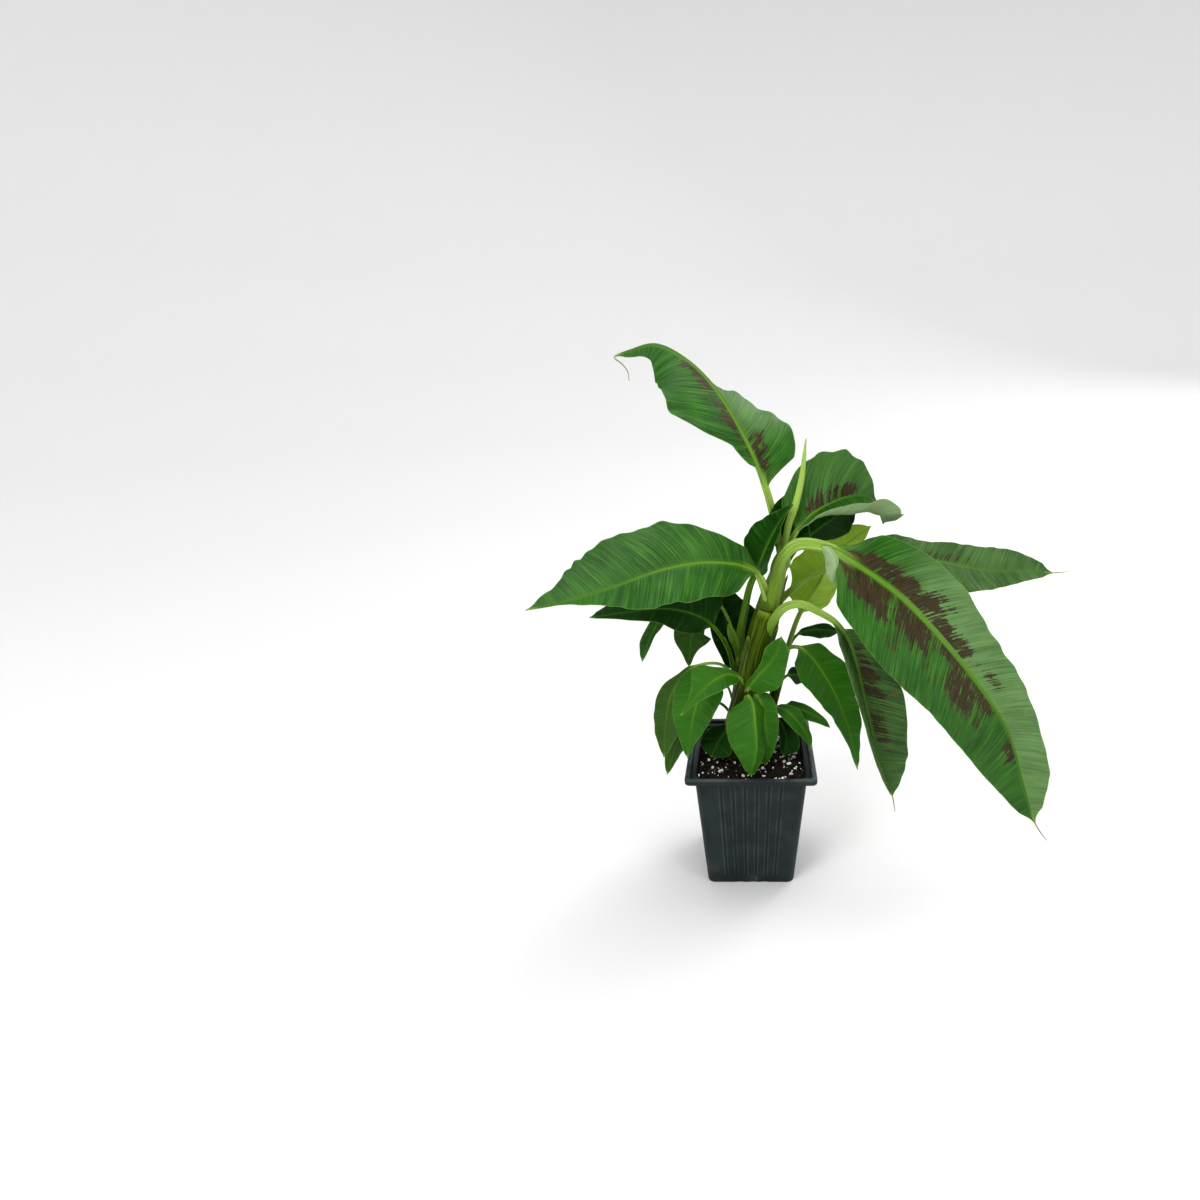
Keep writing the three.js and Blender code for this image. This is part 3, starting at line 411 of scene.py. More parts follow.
            (-2, -3, 158), (-8, -13, 174), (-19, -23, 182), (-30, -29, 178), (-39, -34, 171),
            (-53, -38, 155),
        ],
        blade=(1, 5), stalk=(1.6, 1.5),
        face=[(0.9, -0.5, 0.2), (0, -0.7, 0.7), (-0.2, -0.9, 0.4)],
        left=[7, 9, 9, 5, 2], right=[2, 7, 17, 8, 2],
        fold=[5, 5, 25],
        wave=(0.5, 2.5, 0),
    ),
    dict(
        name="leaf_left_hanging_second", kind="bright",
        path=[
            (-13, 18, 127), (-15, 11, 144), (-19, 4, 160), (-28, -3, 173), (-37, -9, 174),
            (-42, -15, 156), (-47, -18, 136), (-51, -19, 107),
        ],
        blade=(3.6, 7), stalk=(1.4, 1.3),
        face=[(0.2, -0.3, 0.9), (-0.3, -0.9, 0.2), (-0.2, -1, 0.1)],
        left=[18, 17, 14, 10, 4], right=[17, 19, 17, 12, 6],
        fold=[8],
        wave=(0.6, 3, 0.2),
    ),
    dict(
        name="leaf_left_hanging_third", kind="olive",
        path=[
            (-7, 16, 147), (-14, 13, 165), (-24, 10, 176), (-36, 5, 179), (-49, 0, 176),
            (-63, -1, 157), (-69, -3, 133), (-72, -4, 99),
        ],
        blade=(3.5, 7), stalk=(1.4, 1.3),
        face=[(0, -0.4, 0.9), (-0.5, -0.9, 0.2), (-0.3, -0.9, 0.1)],
        left=[5, 11, 15, 15, 8], right=[3, 9, 11, 10, 6],
        fold=[8],
        wave=(0.6, 3, 0.5),
    ),
    dict(
        name="leaf_left_hanging_fourth", kind="olive",
        path=[
            (-14, 18, 120), (-19, 13, 133), (-26, 9, 142), (-37, 6, 143), (-49, 5, 134),
            (-61, 5, 108), (-71, 5, 77),
        ],
        blade=(3.5, 6), stalk=(1.3, 1.2),
        face=[(-0.5, -0.5, 0.7), (-0.5, -0.8, 0.2), (-0.3, -0.9, 0.1)],
        left=[10, 11, 9, 6, 3], right=[9, 11, 10, 9, 5],
        fold=[8],
        wave=(0.5, 2.5, 0.5),
    ),
    dict(
        name="leaf_rear_left_small", kind="olive",
        path=[
            (-11, 19, 147), (-15, 25, 172), (-24, 31, 193), (-36, 34, 202), (-45, 33, 201),
            (-50, 31, 189), (-52, 28, 166),
        ],
        blade=(3, 6), stalk=(1.4, 1.2),
        face=[(0.2, -0.7, 0.7), (-0.2, -1, 0.2), (-0.2, -1, 0.1)],
        left=[14, 16, 13, 7, 3], right=[14, 15, 14, 9, 4],
        fold=[8],
        wave=(0.5, 2.5, 0.5),
    ),
    dict(
        name="leaf_rear_left", kind="dark",
        path=[
            (-12, 18, 151), (-15, 17, 170), (-19, 15, 188), (-30, 12, 208), (-41, 8, 218),
            (-64, 3, 226), (-92, 0, 225), (-125, -3, 221),
        ],
        blade=(3, 7), stalk=(1.8, 1.6),
        face=[(0.4, -0.9, 0.1), (0, -0.6, 0.8)],
        left=[14, 15, 10, 8, 4], right=[30, 22, 20, 16, 9],
        fold=[10],
        wave=(0.8, 3.5, 0.1),
    ),
    dict(
        name="leaf_rear_shaded", kind="dark",
        path=[(-10, 20, 148), (-13, 25, 163), (-17, 30, 185), (-22, 34, 210), (-26, 36, 237)],
        blade=(1, 4), stalk=(1.8, 1.4),
        face=[(-0.1, -1, 0.3), (0, -1, 0.1)],
        left=[8, 12, 13, 12, 8], right=[14, 26, 30, 26, 14],
        fold=[10],
        wave=(0.5, 2.5, 0),
    ),
    dict(
        name="leaf_rear_left_tip", kind="mature",
        path=[
            (-9, 18, 164), (-13, 25, 191), (-25, 31, 219), (-43, 33, 227), (-66, 31, 218),
            (-81, 29, 197), (-91, 27, 171),
        ],
        blade=(3, 6), stalk=(1.4, 1.2),
        face=[(0, -0.6, 0.8), (-0.3, -0.9, 0.3), (-0.2, -1, 0.1)],
        left=[3, 5, 5, 3, 2], right=[2, 3, 5, 6, 6],
        fold=[8],
        wave=(0.4, 2.5, 0.5),
    ),
    dict(
        name="leaf_sheath_tip", kind="young",
        path=[(-9, 17, 164), (-11, 12, 181), (-13, 8, 198), (-18, 6, 212)],
        blade=(1, 3), stalk=(1.4, 1.2),
        face=[(0.4, -0.9, -0.1)],
        left=[1, 2, 3, 4, 3], right=[1, 2, 2, 2, 2],
        fold=[20],
        wave=(0, 0, 0),
    ),
    dict(
        name="leaf_low_right", kind="bright",
        path=[
            (15, 25, 122), (17, 13, 135), (21, 3, 142), (29, -6, 142), (37, -12, 136),
            (44, -16, 127), (48, -18, 116),
        ],
        blade=(2, 6), stalk=(1.4, 1.3),
        face=[(-0.6, -0.1, 0.8), (0.2, -0.7, 0.7), (0.4, -0.9, 0.3)],
        left=[3, 7, 6, 4, 3], right=[5, 7, 7, 6, 3],
        fold=[10],
        wave=(0.4, 2.5, 0),
    ),
    dict(
        name="leaf_low_right_rear", kind="bright",
        path=[
            (14, 26, 115), (20, 17, 131), (29, 9, 140), (38, 3, 140), (47, -1, 138), (57, -5, 134),
            (64, -7, 128),
        ],
        blade=(2, 6), stalk=(1.3, 1.2),
        face=[(-0.6, -0.4, 0.7), (0, -0.7, 0.7), (0.3, -0.8, 0.6)],
        left=[4, 5, 4, 3, 2], right=[5, 6, 6, 5, 3],
        fold=[10],
        wave=(0.3, 2.5, 0),
    ),
    dict(
        name="leaf_in_pot_right", kind="dark",
        path=[(12, 27, 107), (18, 15, 124), (24, 5, 127), (29, -6, 117), (26, -14, 106)],
        blade=(1.5, 4), stalk=(1.3, 1.2),
        face=[(-0.5, -0.1, 0.8), (0.1, -0.7, 0.7), (0, -0.8, 0.6)],
        left=[3, 5, 8, 10, 9], right=[2, 3, 5, 5, 4],
        fold=[8],
        wave=(0.3, 2, 0),
    ),
    dict(
        name="leaf_in_pot_left", kind="dark",
        path=[(-11, 8, 112), (-16, 2, 124), (-20, -4, 123), (-26, -9, 117), (-32, -16, 106)],
        blade=(1.2, 4), stalk=(1.3, 1.2),
        face=[(0.3, -0.1, 0.9), (-0.2, -0.7, 0.6), (-0.2, -0.8, 0.6)],
        left=[5, 9, 12, 14, 12], right=[7, 10, 12, 13, 11],
        fold=[8],
        wave=(0.3, 2, 0),
    ),
]

# Maroon patches on a leaf's upper side: side of the rib, from and to along the blade, from and
# to across the half, and strength.
LEFT = -1
RIGHT = 1
PATCHES = {
    "leaf_big_right": [
        (RIGHT, 0.01, 0.20, 0.0, 0.52, 1.0),
        (RIGHT, 0.20, 0.34, 0.0, 0.42, 1.0),
        (RIGHT, 0.19, 0.23, 0.60, 0.72, 0.8),
        (RIGHT, 0.34, 0.48, 0.0, 0.16, 0.9),
        (RIGHT, 0.33, 0.37, 0.48, 0.60, 0.9),
        (RIGHT, 0.40, 0.43, 0.34, 0.44, 0.9),
        (RIGHT, 0.42, 0.54, 0.14, 0.60, 1.0),
        (RIGHT, 0.50, 0.61, 0.02, 0.22, 1.0),
        (RIGHT, 0.56, 0.59, 0.44, 0.58, 1.0),
        (RIGHT, 0.70, 0.78, 0.03, 0.24, 1.0),
        (LEFT, 0.01, 0.30, 0.0, 0.40, 1.0),
        (LEFT, 0.25, 0.29, 0.46, 0.60, 1.0),
        (LEFT, 0.30, 0.46, 0.03, 0.30, 1.0),
        (LEFT, 0.50, 0.54, 0.28, 0.44, 1.0),
    ],
    "leaf_top": [
        (LEFT, 0.12, 0.40, 0.02, 0.26, 0.8),
        (LEFT, 0.40, 0.68, 0.03, 0.20, 0.8),
        (RIGHT, 0.04, 0.22, 0.03, 0.34, 0.8),
        (RIGHT, 0.48, 0.60, 0.05, 0.44, 0.8),
    ],
    "leaf_rear_right": [
        (RIGHT, 0.15, 0.45, 0.02, 0.30, 0.5),
        (LEFT, 0.20, 0.60, 0.05, 0.4, 0.5),
    ],
    "leaf_saddle": [(LEFT, 0.10, 0.60, 0.0, 0.30, 0.75)],
    "leaf_right_drooping": [
        (LEFT, 0.14, 0.42, 0.05, 0.50, 0.8),
        (LEFT, 0.48, 0.70, 0.05, 0.40, 0.75),
    ],
}

# Dead brown spots: place along the blade, signed share across, size in mm
SPOTS = {"leaf_right_drooping": [(0.42, -0.78, 3.2)]}

# Stems. radii: at even places along the path. sheaths: edges showing round the stem. step: how
# far an edge stands out, as a share of the radius. wraps: old sheaths over the stem, each with
# its middle and half angle at the bottom and top in degrees (90 looks at the camera), its start
# and end along the stem, how far it lies outside the stem, and how it ends.
STEMS = [
    dict(
        name="main_stem",
        path=[
            (-20, 2, 84), (-11, 1, 127), (-2, 0, 162), (7, -1, 202), (15, -1, 235), (21, 0, 258),
            (25, 1, 275),
        ],
        radii=[10, 10, 10, 11, 9, 6, 4],
        sheaths=2,
        step=0.09,
        wraps=[
            (92, 92, 58, 40, 0.05, 0.63, 0.75, "cut"),
            (30, 40, 48, 30, 0.05, 0.52, 0.45, "point"),
            (165, 150, 55, 34, 0.05, 0.58, 0.5, "point"),
            (270, 255, 75, 45, 0.05, 0.66, 0.5, "point"),
            (200, 190, 60, 30, 0.3, 0.82, 0.4, "point"),
        ],
    ),
    dict(
        name="left_stem",
        path=[(-22, 20, 84), (-14, 19, 125), (-11, 18, 149), (-9, 17, 177), (-8, 16, 195)],
        radii=[5.5, 5, 4.5, 4, 3],
        sheaths=2,
        step=0.09,
        wraps=[(100, 110, 70, 40, 0.05, 0.7, 0.4, "point"), (300, 290, 70, 40, 0.05, 0.6, 0.4, "point")],
    ),
    dict(
        name="rear_stem",
        path=[(7, 28, 84), (15, 27, 121), (21, 26, 146), (26, 25, 169), (29, 25, 182)],
        radii=[5.5, 5, 4.5, 4, 3],
        sheaths=2,
        step=0.09,
        wraps=[(80, 95, 70, 40, 0.05, 0.75, 0.4, "point"), (250, 260, 70, 40, 0.05, 0.6, 0.4, "point")],
    ),
    dict(
        name="leaf_spear",
        path=[(25, 1, 272), (28, 2, 293), (33, 3, 308), (37, 4, 326), (39, 5, 344), (40, 6, 356)],
        radii=[2.6, 2.8, 2.7, 2.2, 1.4, 0.5],
        sheaths=1,
        step=0.18,
        wraps=[],
    ),
]
STEM_SIDES = 72
STEM_ROW_GAP = 1.5
SHEATH_TWIST = 0.7
WRAP_THICKNESS = 0.5
WRAP_SPRING = 1.1
WRAP_COLUMNS = 40


# Numbers and curves


def clamp(x, low, high):
    return np.minimum(np.maximum(x, low), high)


def smooth(x, low, high):
    """0 below low, 1 above high, smooth between."""
    f = clamp((x - low) / (high - low), 0, 1)
    return f * f * (3 - 2 * f)


def window(x, low, high, soft):
    return smooth(x, low - soft, low + soft) * (1 - smooth(x, high - soft, high + soft))


def eased(keys, t):
    """Value through evenly spaced keys, with an easy start and end at each key."""
    keys = np.asarray(keys, float)
    t = np.asarray(t, float)
    if len(keys) == 1:
        return np.broadcast_to(keys[0], t.shape + keys.shape[1:])
    x = clamp(t, 0, 1) * (len(keys) - 1)
    i = np.minimum(x.astype(int), len(keys) - 2)
    f = (x - i) ** 2 * (3 - 2 * (x - i))
    if keys.ndim == 2:
        f = f[..., None]
    return keys[i] * (1 - f) + keys[i + 1] * f


def through_keys(keys, at):
    """Smooth curve through evenly spaced keys."""
    keys = np.asarray(keys, float)
    x = clamp(np.asarray(at, float), 0, len(keys) - 1)
    i = np.minimum(x.astype(int), len(keys) - 2)
    f = x - i
    a = keys[np.maximum(i - 1, 0)]
    b = keys[i]
    c = keys[i + 1]
    d = keys[np.minimum(i + 2, len(keys) - 1)]
    return 0.5 * (2 * b + (c - a) * f + (2 * a - 5 * b + 4 * c - d) * f**2 + (3 * b - a - 3 * c + d) * f**3)


def curve_point(points, u):
    """Centripetal curve through the points. u runs from 0 to the number of the last point."""
    p = np.asarray(points, float)
    p = np.vstack([2 * p[0] - p[1], p, 2 * p[-1] - p[-2]])
    u = np.asarray(u, float)
    i = np.clip(np.floor(u).astype(int), 0, len(points) - 2)
    w = (u - i)[:, None]
    p0, p1, p2, p3 = p[i], p[i + 1], p[i + 2], p[i + 3]
    d0 = np.linalg.norm(p1 - p0, axis=1)[:, None] ** 0.5
    d1 = np.linalg.norm(p2 - p1, axis=1)[:, None] ** 0.5
    d2 = np.linalg.norm(p3 - p2, axis=1)[:, None] ** 0.5
    m1 = ((p1 - p0) / d0 - (p2 - p0) / (d0 + d1) + (p2 - p1) / d1) * d1
    m2 = ((p2 - p1) / d1 - (p3 - p1) / (d1 + d2) + (p3 - p2) / d2) * d1
    first = (2 * w**3 - 3 * w**2 + 1) * p1 + (w**3 - 2 * w**2 + w) * m1
    return first + (3 * w**2 - 2 * w**3) * p2 + (w**3 - w**2) * m2


def curve_way(points, u):
    """Direction of the curve at each place."""
    last = len(points) - 1
    step = 0.004
    way = curve_point(points, clamp(u + step, 0, last)) - curve_point(points, clamp(u - step, 0, last))
    return way / np.linalg.norm(way, axis=1)[:, None]


def curve_lengths(points):
    """Fine places along the curve, and the length up to each."""
    fine = np.linspace(0, len(points) - 1, CURVE_STEPS * (len(points) - 1) + 1)
    steps = np.linalg.norm(np.diff(curve_point(points, fine), axis=0), axis=1)
    return fine, np.concatenate([[0], np.cumsum(steps)])


def ripples(x, y, seed, length, count=7):
    """Smooth random hills between about -1 and 1, with waves near the given length."""
    draw = random.Random(seed)
    total = np.zeros(np.broadcast(x, y).shape)
    for _ in range(count):
        turn = draw.uniform(0, 2 * math.pi)
        k = 2 * math.pi / (length * draw.uniform(0.6, 1.7))
        total = total + np.sin(k * (x * math.cos(turn) + y * math.sin(turn)) + draw.uniform(0, 6.28))
    return total / math.sqrt(count)


# Meshes


class Build:
    """Vertices, faces and painted values of one piece, gathered from several closed shells."""

    def __init__(self):
        self.points = []
        self.faces = []
        self.slots = []
        self.values = {}
        self.count = 0

    def add(self, points, faces, slot=0, **values):
        points = np.asarray(points, float).reshape(-1, 3)
        for face in faces:
            self.faces.append([int(v) + self.count for v in face])
        self.slots.extend([slot] * len(faces))
        self.points.append(points)
        for key, value in values.items():
            self.values.setdefault(key, []).append((self.count, np.asarray(value, float).reshape(-1, 3)))
        self.count += len(points)

    def object(self, name, materials, slot, nodes):
        mesh = bpy.data.meshes.new(name)
        mesh.from_pydata((np.vstack(self.points) * MM).tolist(), [], self.faces)
        for key, parts in self.values.items():
            whole = np.zeros((self.count, 3))
            for start, value in parts:
                whole[start : start + len(value)] = value
            painted = mesh.attributes.new(key, "FLOAT_VECTOR", "POINT")
            painted.data.foreach_set("vector", whole.ravel())
        for material in materials:
            mesh.materials.append(material)
        mesh.polygons.foreach_set("material_index", self.slots)
        mesh.shade_smooth()
        mesh.update()
        piece = bpy.data.objects.new(name, mesh)
        bpy.context.scene.collection.objects.link(piece)
        finish_piece(piece, nodes)
        return piece


def finish_piece(piece, nodes):
    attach(piece, "root")
    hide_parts(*nodes)


def ring_faces(rows, around):
    """Squares between rings of points, and a cap at each end."""
    i, j = np.meshgrid(np.arange(rows - 1), np.arange(around), indexing="ij")
    a = i * around + j
    b = i * around + (j + 1) % around
    squares = np.stack([a, b, b + around, a + around], axis=-1).reshape(-1, 4).tolist()
    squares.append(list(range(around))[::-1])
    squares.append([(rows - 1) * around + k for k in range(around)])
    return squares


def in_sections(centre, right, up, x, y):
    """Points at x and y in the cross-section at each centre."""
    return centre[:, None] + right[:, None] * x[..., None] + up[:, None] * y[..., None]


def triple(shape, first, second=0, third=0):
    """Three painted values for each point."""
    return np.stack([np.broadcast_to(value, shape) for value in (first, second, third)], axis=-1)


# Leaves


def envelope(t):
    return t**BASE_ROUNDING * (1 - t) ** TIP_TAPER


def half_width(widths, start, at):
    t = (at - start) / (1 - start)
    inside = (t > 0) & (t < 1)
    t = clamp(t, 1e-6, 1 - 1e-6)
    places = len(widths) + 1
    keys = [w / envelope((i + 1) / places) for i, w in enumerate(widths)]
    return np.where(inside, envelope(t) * through_keys(keys, t * places - 1), 0)


def leaf_rows(leaf):
    """Places along a leaf: the curve's own place, the length from the blade's start, and the
    share of the blade, below 0 on the stalk and above 1 on the thread."""
    fine, length = curve_lengths(leaf["path"])
    start, end = np.interp(leaf["blade"], fine, length)
    blade_rows = max(16, int((end - start) / ROW_GAP))
    stalk = np.linspace(0, start, max(1, int(start / STALK_ROW_GAP)), endpoint=False) if start > 0 else []
    thread = []
    if length[-1] > end + 0.5:
        thread = np.linspace(end, length[-1], 2 + int((length[-1] - end) / STALK_ROW_GAP))[1:]
    ends = [0.004, 0.01, 0.02]
    shares = np.linspace(0, 1, blade_rows + 1)
    shares = np.unique(np.concatenate([shares, ends, [1 - e for e in ends]]))
    at = np.concatenate([stalk, start + (end - start) * shares, thread])
    return np.interp(at, length, fine), at - start, (at - start) / (end - start)


def leaf_radius(leaf, u):
    """Radius of the stalk, the rib and the thread."""
    start, end = leaf["blade"]
    first, second = leaf["stalk"]
    on_stalk = first + (second - first) * u / max(start, 1e-6)
    left = clamp(1 - (u - start) / (end - start), 0, 1) ** 0.8
    on_blade = second * left + THREAD_RADIUS * (1 - left)
    last = len(leaf["path"]) - 1
    fade = clamp((u - end) / max(last - end, 1e-6), 0, 1)
    on_thread = THREAD_RADIUS * (1 - fade) + THREAD_END_RADIUS * fade
    return np.where(u < start, on_stalk, np.where(u >= end, on_thread, on_blade))


def leaf_columns(leaf):
    """Columns from the left margin to the right one: side, place across the rib, share of the half."""
    widest = max(leaf["left"] + leaf["right"])
    middle = np.linspace(0.05, 0.95, max(7, int(widest / COLUMN_GAP)))
    shares = np.concatenate([[0, 0, 0, 0, 0, 0.015], middle, [0.975, 0.99, 1.0]])
    ribs = np.concatenate([[0, 0.3, 0.6, 0.85, 1], np.ones(len(shares) - 5)])
    side = np.concatenate([-np.ones(len(shares) - 1), np.ones(len(shares))])
    rib = np.concatenate([ribs[:0:-1], ribs])
    share = np.concatenate([shares[:0:-1], shares])
    return side, rib, share


def by_side(side, left, right):
    return np.where(side > 0, right, left)


def leaf_grid(leaf):
    """Rows along the leaf, and columns over its upper side and back under it."""
    u, along, t = leaf_rows(leaf)
    side, rib, share = leaf_columns(leaf)
    upper = np.ones(len(side))
    return SimpleNamespace(
        u=u,
        t=t,
        along=along[:, None],
        blade_t=clamp(t, 0, 1)[:, None],
        radius=leaf_radius(leaf, u)[:, None],
        is_open=clamp(np.minimum(t / OPENING_AT_BASE, (1 - t) / OPENING_AT_TIP), 0, 1)[:, None],
        side=np.concatenate([side, side[::-1]])[None, :],
        rib=np.concatenate([rib, rib[::-1]])[None, :],
        share=np.concatenate([share, share[::-1]])[None, :],
        face=np.concatenate([upper, -upper])[None, :],
        blade_length=along[np.searchsorted(t, 1.0 - 1e-9)],
    )


def stalk_section(leaf, grid):
    """The round section of the stalk, with a channel along its upper side."""
    columns = leaf.get("columns", 2)
    turn = (math.pi / 2) * (1 - (grid.rib + grid.share * columns) / (columns + STALK_SPREAD))
    x = grid.side * grid.radius * np.cos(turn)
    y = grid.face * grid.radius * np.where(grid.face > 0, STALK_FLATNESS, 1.0) * np.sin(turn)
    depth = np.where(grid.face > 0, CHANNEL_DEPTH, 0) * (grid.t[:, None] < 1)
    depth = depth * smooth(grid.along, CHANNEL_START, CHANNEL_FULL)
    y = y - depth * grid.radius * np.exp(-((x / (CHANNEL_WIDTH * grid.radius)) ** 2))
    return x, y


def blade_reach(leaf, grid):
    """How far each half reaches from the rib."""
    left = half_width(leaf["left"], leaf.get("start_left", 0), grid.blade_t)
    right = half_width(leaf["right"], 0, grid.blade_t)
    return by_side(grid.side, left, right)


def half_angle(leaf, grid, name, default):
    """An angle of each half along the blade, in radians."""
    keys = leaf.get(name, default)
    left = np.radians(eased(leaf.get(name + "_left", keys), grid.blade_t))
    right = np.radians(eased(leaf.get(name + "_right", keys), grid.blade_t))
    return by_side(grid.side, left, right)


def blade_section(leaf, grid, seed):
    """The blade, folded and curled from the rib, with its waves, pleats and ruffle."""
    side = grid.side
    share = grid.share
    fold = half_angle(leaf, grid, "fold", [10])
    curl = half_angle(leaf, grid, "curl", [0])
    curl = np.where(np.abs(curl) < 1e-4, 1e-4, curl)
    angle = fold + curl * share
    x = grid.reach * (np.sin(angle) - np.sin(fold)) / curl
    y = grid.reach * (np.cos(fold) - np.cos(angle)) / curl
    height, count, phase = leaf["wave"]
    widest = by_side(side, max(leaf["left"]), max(leaf["right"]))
    fade = clamp(1.5 * grid.reach / widest, 0, 1)
    wave = np.sin(2 * math.pi * (count * grid.blade_t + phase + WAVE_SHIFT * (side > 0)))
    y = y + height * share**2 * wave * fade

    small = clamp(widest / WIDE_HALF, 0.35, 1)
    pleat = np.sin(2 * math.pi * grid.vein / PLEAT_LENGTH + ripples(grid.vein, side * 40.0, seed, 30))
    y = y + PLEAT_HEIGHT * small * pleat * smooth(grid.from_rib, 3, 12) * (1 - 0.6 * share)
    ruffle = ripples(grid.vein, side * 60.0, seed + 3, RUFFLE_LENGTH)
    y = y + RUFFLE_HEIGHT * small * ruffle * share**3 * fade

    half = BLADE_HALF_THICKNESS + (MARGIN_HALF_THICKNESS - BLADE_HALF_THICKNESS) * share
    tilt = np.where(share > 0, angle, angle * grid.rib)
    keel = np.where(grid.face < 0, KEEL_DEPTH, RIB_SINK) * grid.radius * np.cos(grid.rib * math.pi / 2)
    x = side * RIB_HALF_WIDTH * grid.radius * grid.rib + side * x - grid.face * side * half * np.sin(tilt)
    return x, y + grid.face * half * np.cos(tilt) - keel


def leaf_frame(leaf, grid):
    """Centre of each row, the way to its right and the way that its upper side looks."""
    centre = curve_point(leaf["path"], grid.u)
    way = curve_way(leaf["path"], grid.u)
    up = eased(leaf["face"], clamp(grid.t, 0, 1))
    up = up - way * np.sum(up * way, axis=1)[:, None]
    up = up / np.linalg.norm(up, axis=1)[:, None]
    return centre, np.cross(way, up), up


def leaf_patches(leaf, grid, shape):
    """How maroon each point is."""
    vein_t = grid.vein / grid.blade_length
    patch = np.zeros(shape)
    for where, start, end, near, far, strength in PATCHES.get(leaf.get("name"), []):
        inside = window(vein_t, start, end, PATCH_SOFT_ALONG)
        inside = inside * window(grid.share, near - 0.1, far, PATCH_SOFT_ACROSS)
        patch = np.maximum(patch, strength * inside * (grid.side == where))
    return patch


def leaf_spots(leaf, grid, shape):
    """How dry each point is."""
    spot = np.zeros(shape)
    for spot_t, spot_share, size in SPOTS.get(leaf.get("name"), []):
        across = (grid.side * grid.share - spot_share) * grid.reach
        distance = np.hypot((grid.blade_t - spot_t) * grid.blade_length, across * 1.6)
        spot = np.maximum(spot, 1 - smooth(distance, 0.4 * size, size))
    return spot


def leaf_shell(leaf, seed):
    """Points of the closed leaf in rings, and the values that its material reads."""
    grid = leaf_grid(leaf)
    rib_half = RIB_HALF_WIDTH * grid.radius
    grid.reach = blade_reach(leaf, grid)
    grid.from_rib = rib_half * grid.rib + grid.reach * grid.share
    grid.vein = grid.along - VEIN_LEAN * grid.from_rib - VEIN_BEND * grid.from_rib**2
    stalk_x, stalk_y = stalk_section(leaf, grid)
    blade_x, blade_y = blade_section(leaf, grid, seed)
    closed = 1 - grid.is_open
    x = stalk_x * closed + blade_x * grid.is_open
    y = stalk_y * closed + blade_y * grid.is_open
    points = in_sections(*leaf_frame(leaf, grid), x, y)

    shape = points.shape[:2]
    edge = clamp(1 - (1 - grid.share) * grid.reach / RIM_WIDTH, 0, 1) * grid.is_open
    on_stalk = np.exp(-(((np.abs(stalk_x) / grid.radius - STALK_LINE) / STALK_LINE_WIDTH) ** 2))
    on_stalk = on_stalk * (grid.face > 0) * closed
    middle = clamp(RIB_REACH - grid.from_rib / rib_half, -1, RIB_REACH)
    sheen = by_side(grid.side, *leaf.get("sheen", (0, 0))) * smooth(grid.blade_t, 0.1, 0.3)
    bare = closed * (1 - smooth(grid.from_rib, 0.8 * grid.radius, 2.2 * grid.radius))
    closer = (WIDE_HALF / max(leaf["left"] + leaf["right"])) ** 0.5
    rim = np.maximum(edge, 0.7 * on_stalk)
    return points, dict(
        place=triple(shape, grid.t[:, None], grid.face < 0, sheen),
        veins=triple(shape, closer * grid.vein, grid.side * grid.from_rib, grid.along),
        marks=triple(shape, leaf_patches(leaf, grid, shape), rim, leaf_spots(leaf, grid, shape)),
        parts=triple(shape, middle, bare, x),
    )


def leaf_piece(leaf, number, materials):
    build = Build()
    for k, part in enumerate(filter(None, [leaf, leaf.get("lobe")])):
        points, values = leaf_shell(part, 11 * number + k)
        build.add(points, ring_faces(*points.shape[:2]), k, **values)
    slot = "young_leaf" if leaf["name"] == "leaf_young" else "leaf"
    used = [materials[leaf["kind"]]]
    if "lobe" in leaf:
        used.append(materials["pale"])
    return build.object("fine_" + leaf["name"], used, slot, [leaf["name"]])


# Stems


def stem_frame(stem, share):
    u = share * (len(stem["path"]) - 1)
    way = curve_way(stem["path"], u)
    right = np.cross(way, (0.0, 1.0, 0.0))
    right = right / np.linalg.norm(right, axis=1)[:, None]
    back = np.cross(way, right)
    back = back / np.linalg.norm(back, axis=1)[:, None]
    return curve_point(stem["path"], u), right, back


def stem_radius(stem, share):
    return through_keys(stem["radii"], share * (len(stem["radii"]) - 1))[:, None]


def stem_phase(stem, turn, share):
    """Place between one sheath's edge and the next, from 0 to 1."""
    return (turn * stem["sheaths"] + share * SHEATH_TWIST) % 1


def stem_lap(stem, turn, share):
    return 1 + stem["step"] * (stem_phase(stem, turn, share) - 0.5)


def stem_rows(stem, start=0.0, end=1.0):
    """Shares of the stem's length between two of them, close enough for its form."""
    length = curve_lengths(stem["path"])[1]
    count = max(10, int(length[-1] * (end - start) / STEM_ROW_GAP))
    return np.linspace(start, end, count)


def stem_core(stem):
    share = stem_rows(stem)
    radius = stem_radius(stem, share)
    turn = (np.arange(STEM_SIDES) / STEM_SIDES)[None, :]
    lap = stem_lap(stem, turn, share[:, None])
    x = np.cos(turn * 2 * math.pi) * radius * lap
    y = np.sin(turn * 2 * math.pi) * radius * lap
    points = in_sections(*stem_frame(stem, share), x, y)
    shape = points.shape[:2]
    return points, dict(
        marks=triple(shape, smooth(stem_phase(stem, turn, share[:, None]), 0.93, 1.0)),
        veins=triple(shape, turn * 2 * math.pi * radius, points[..., 2]),
    )


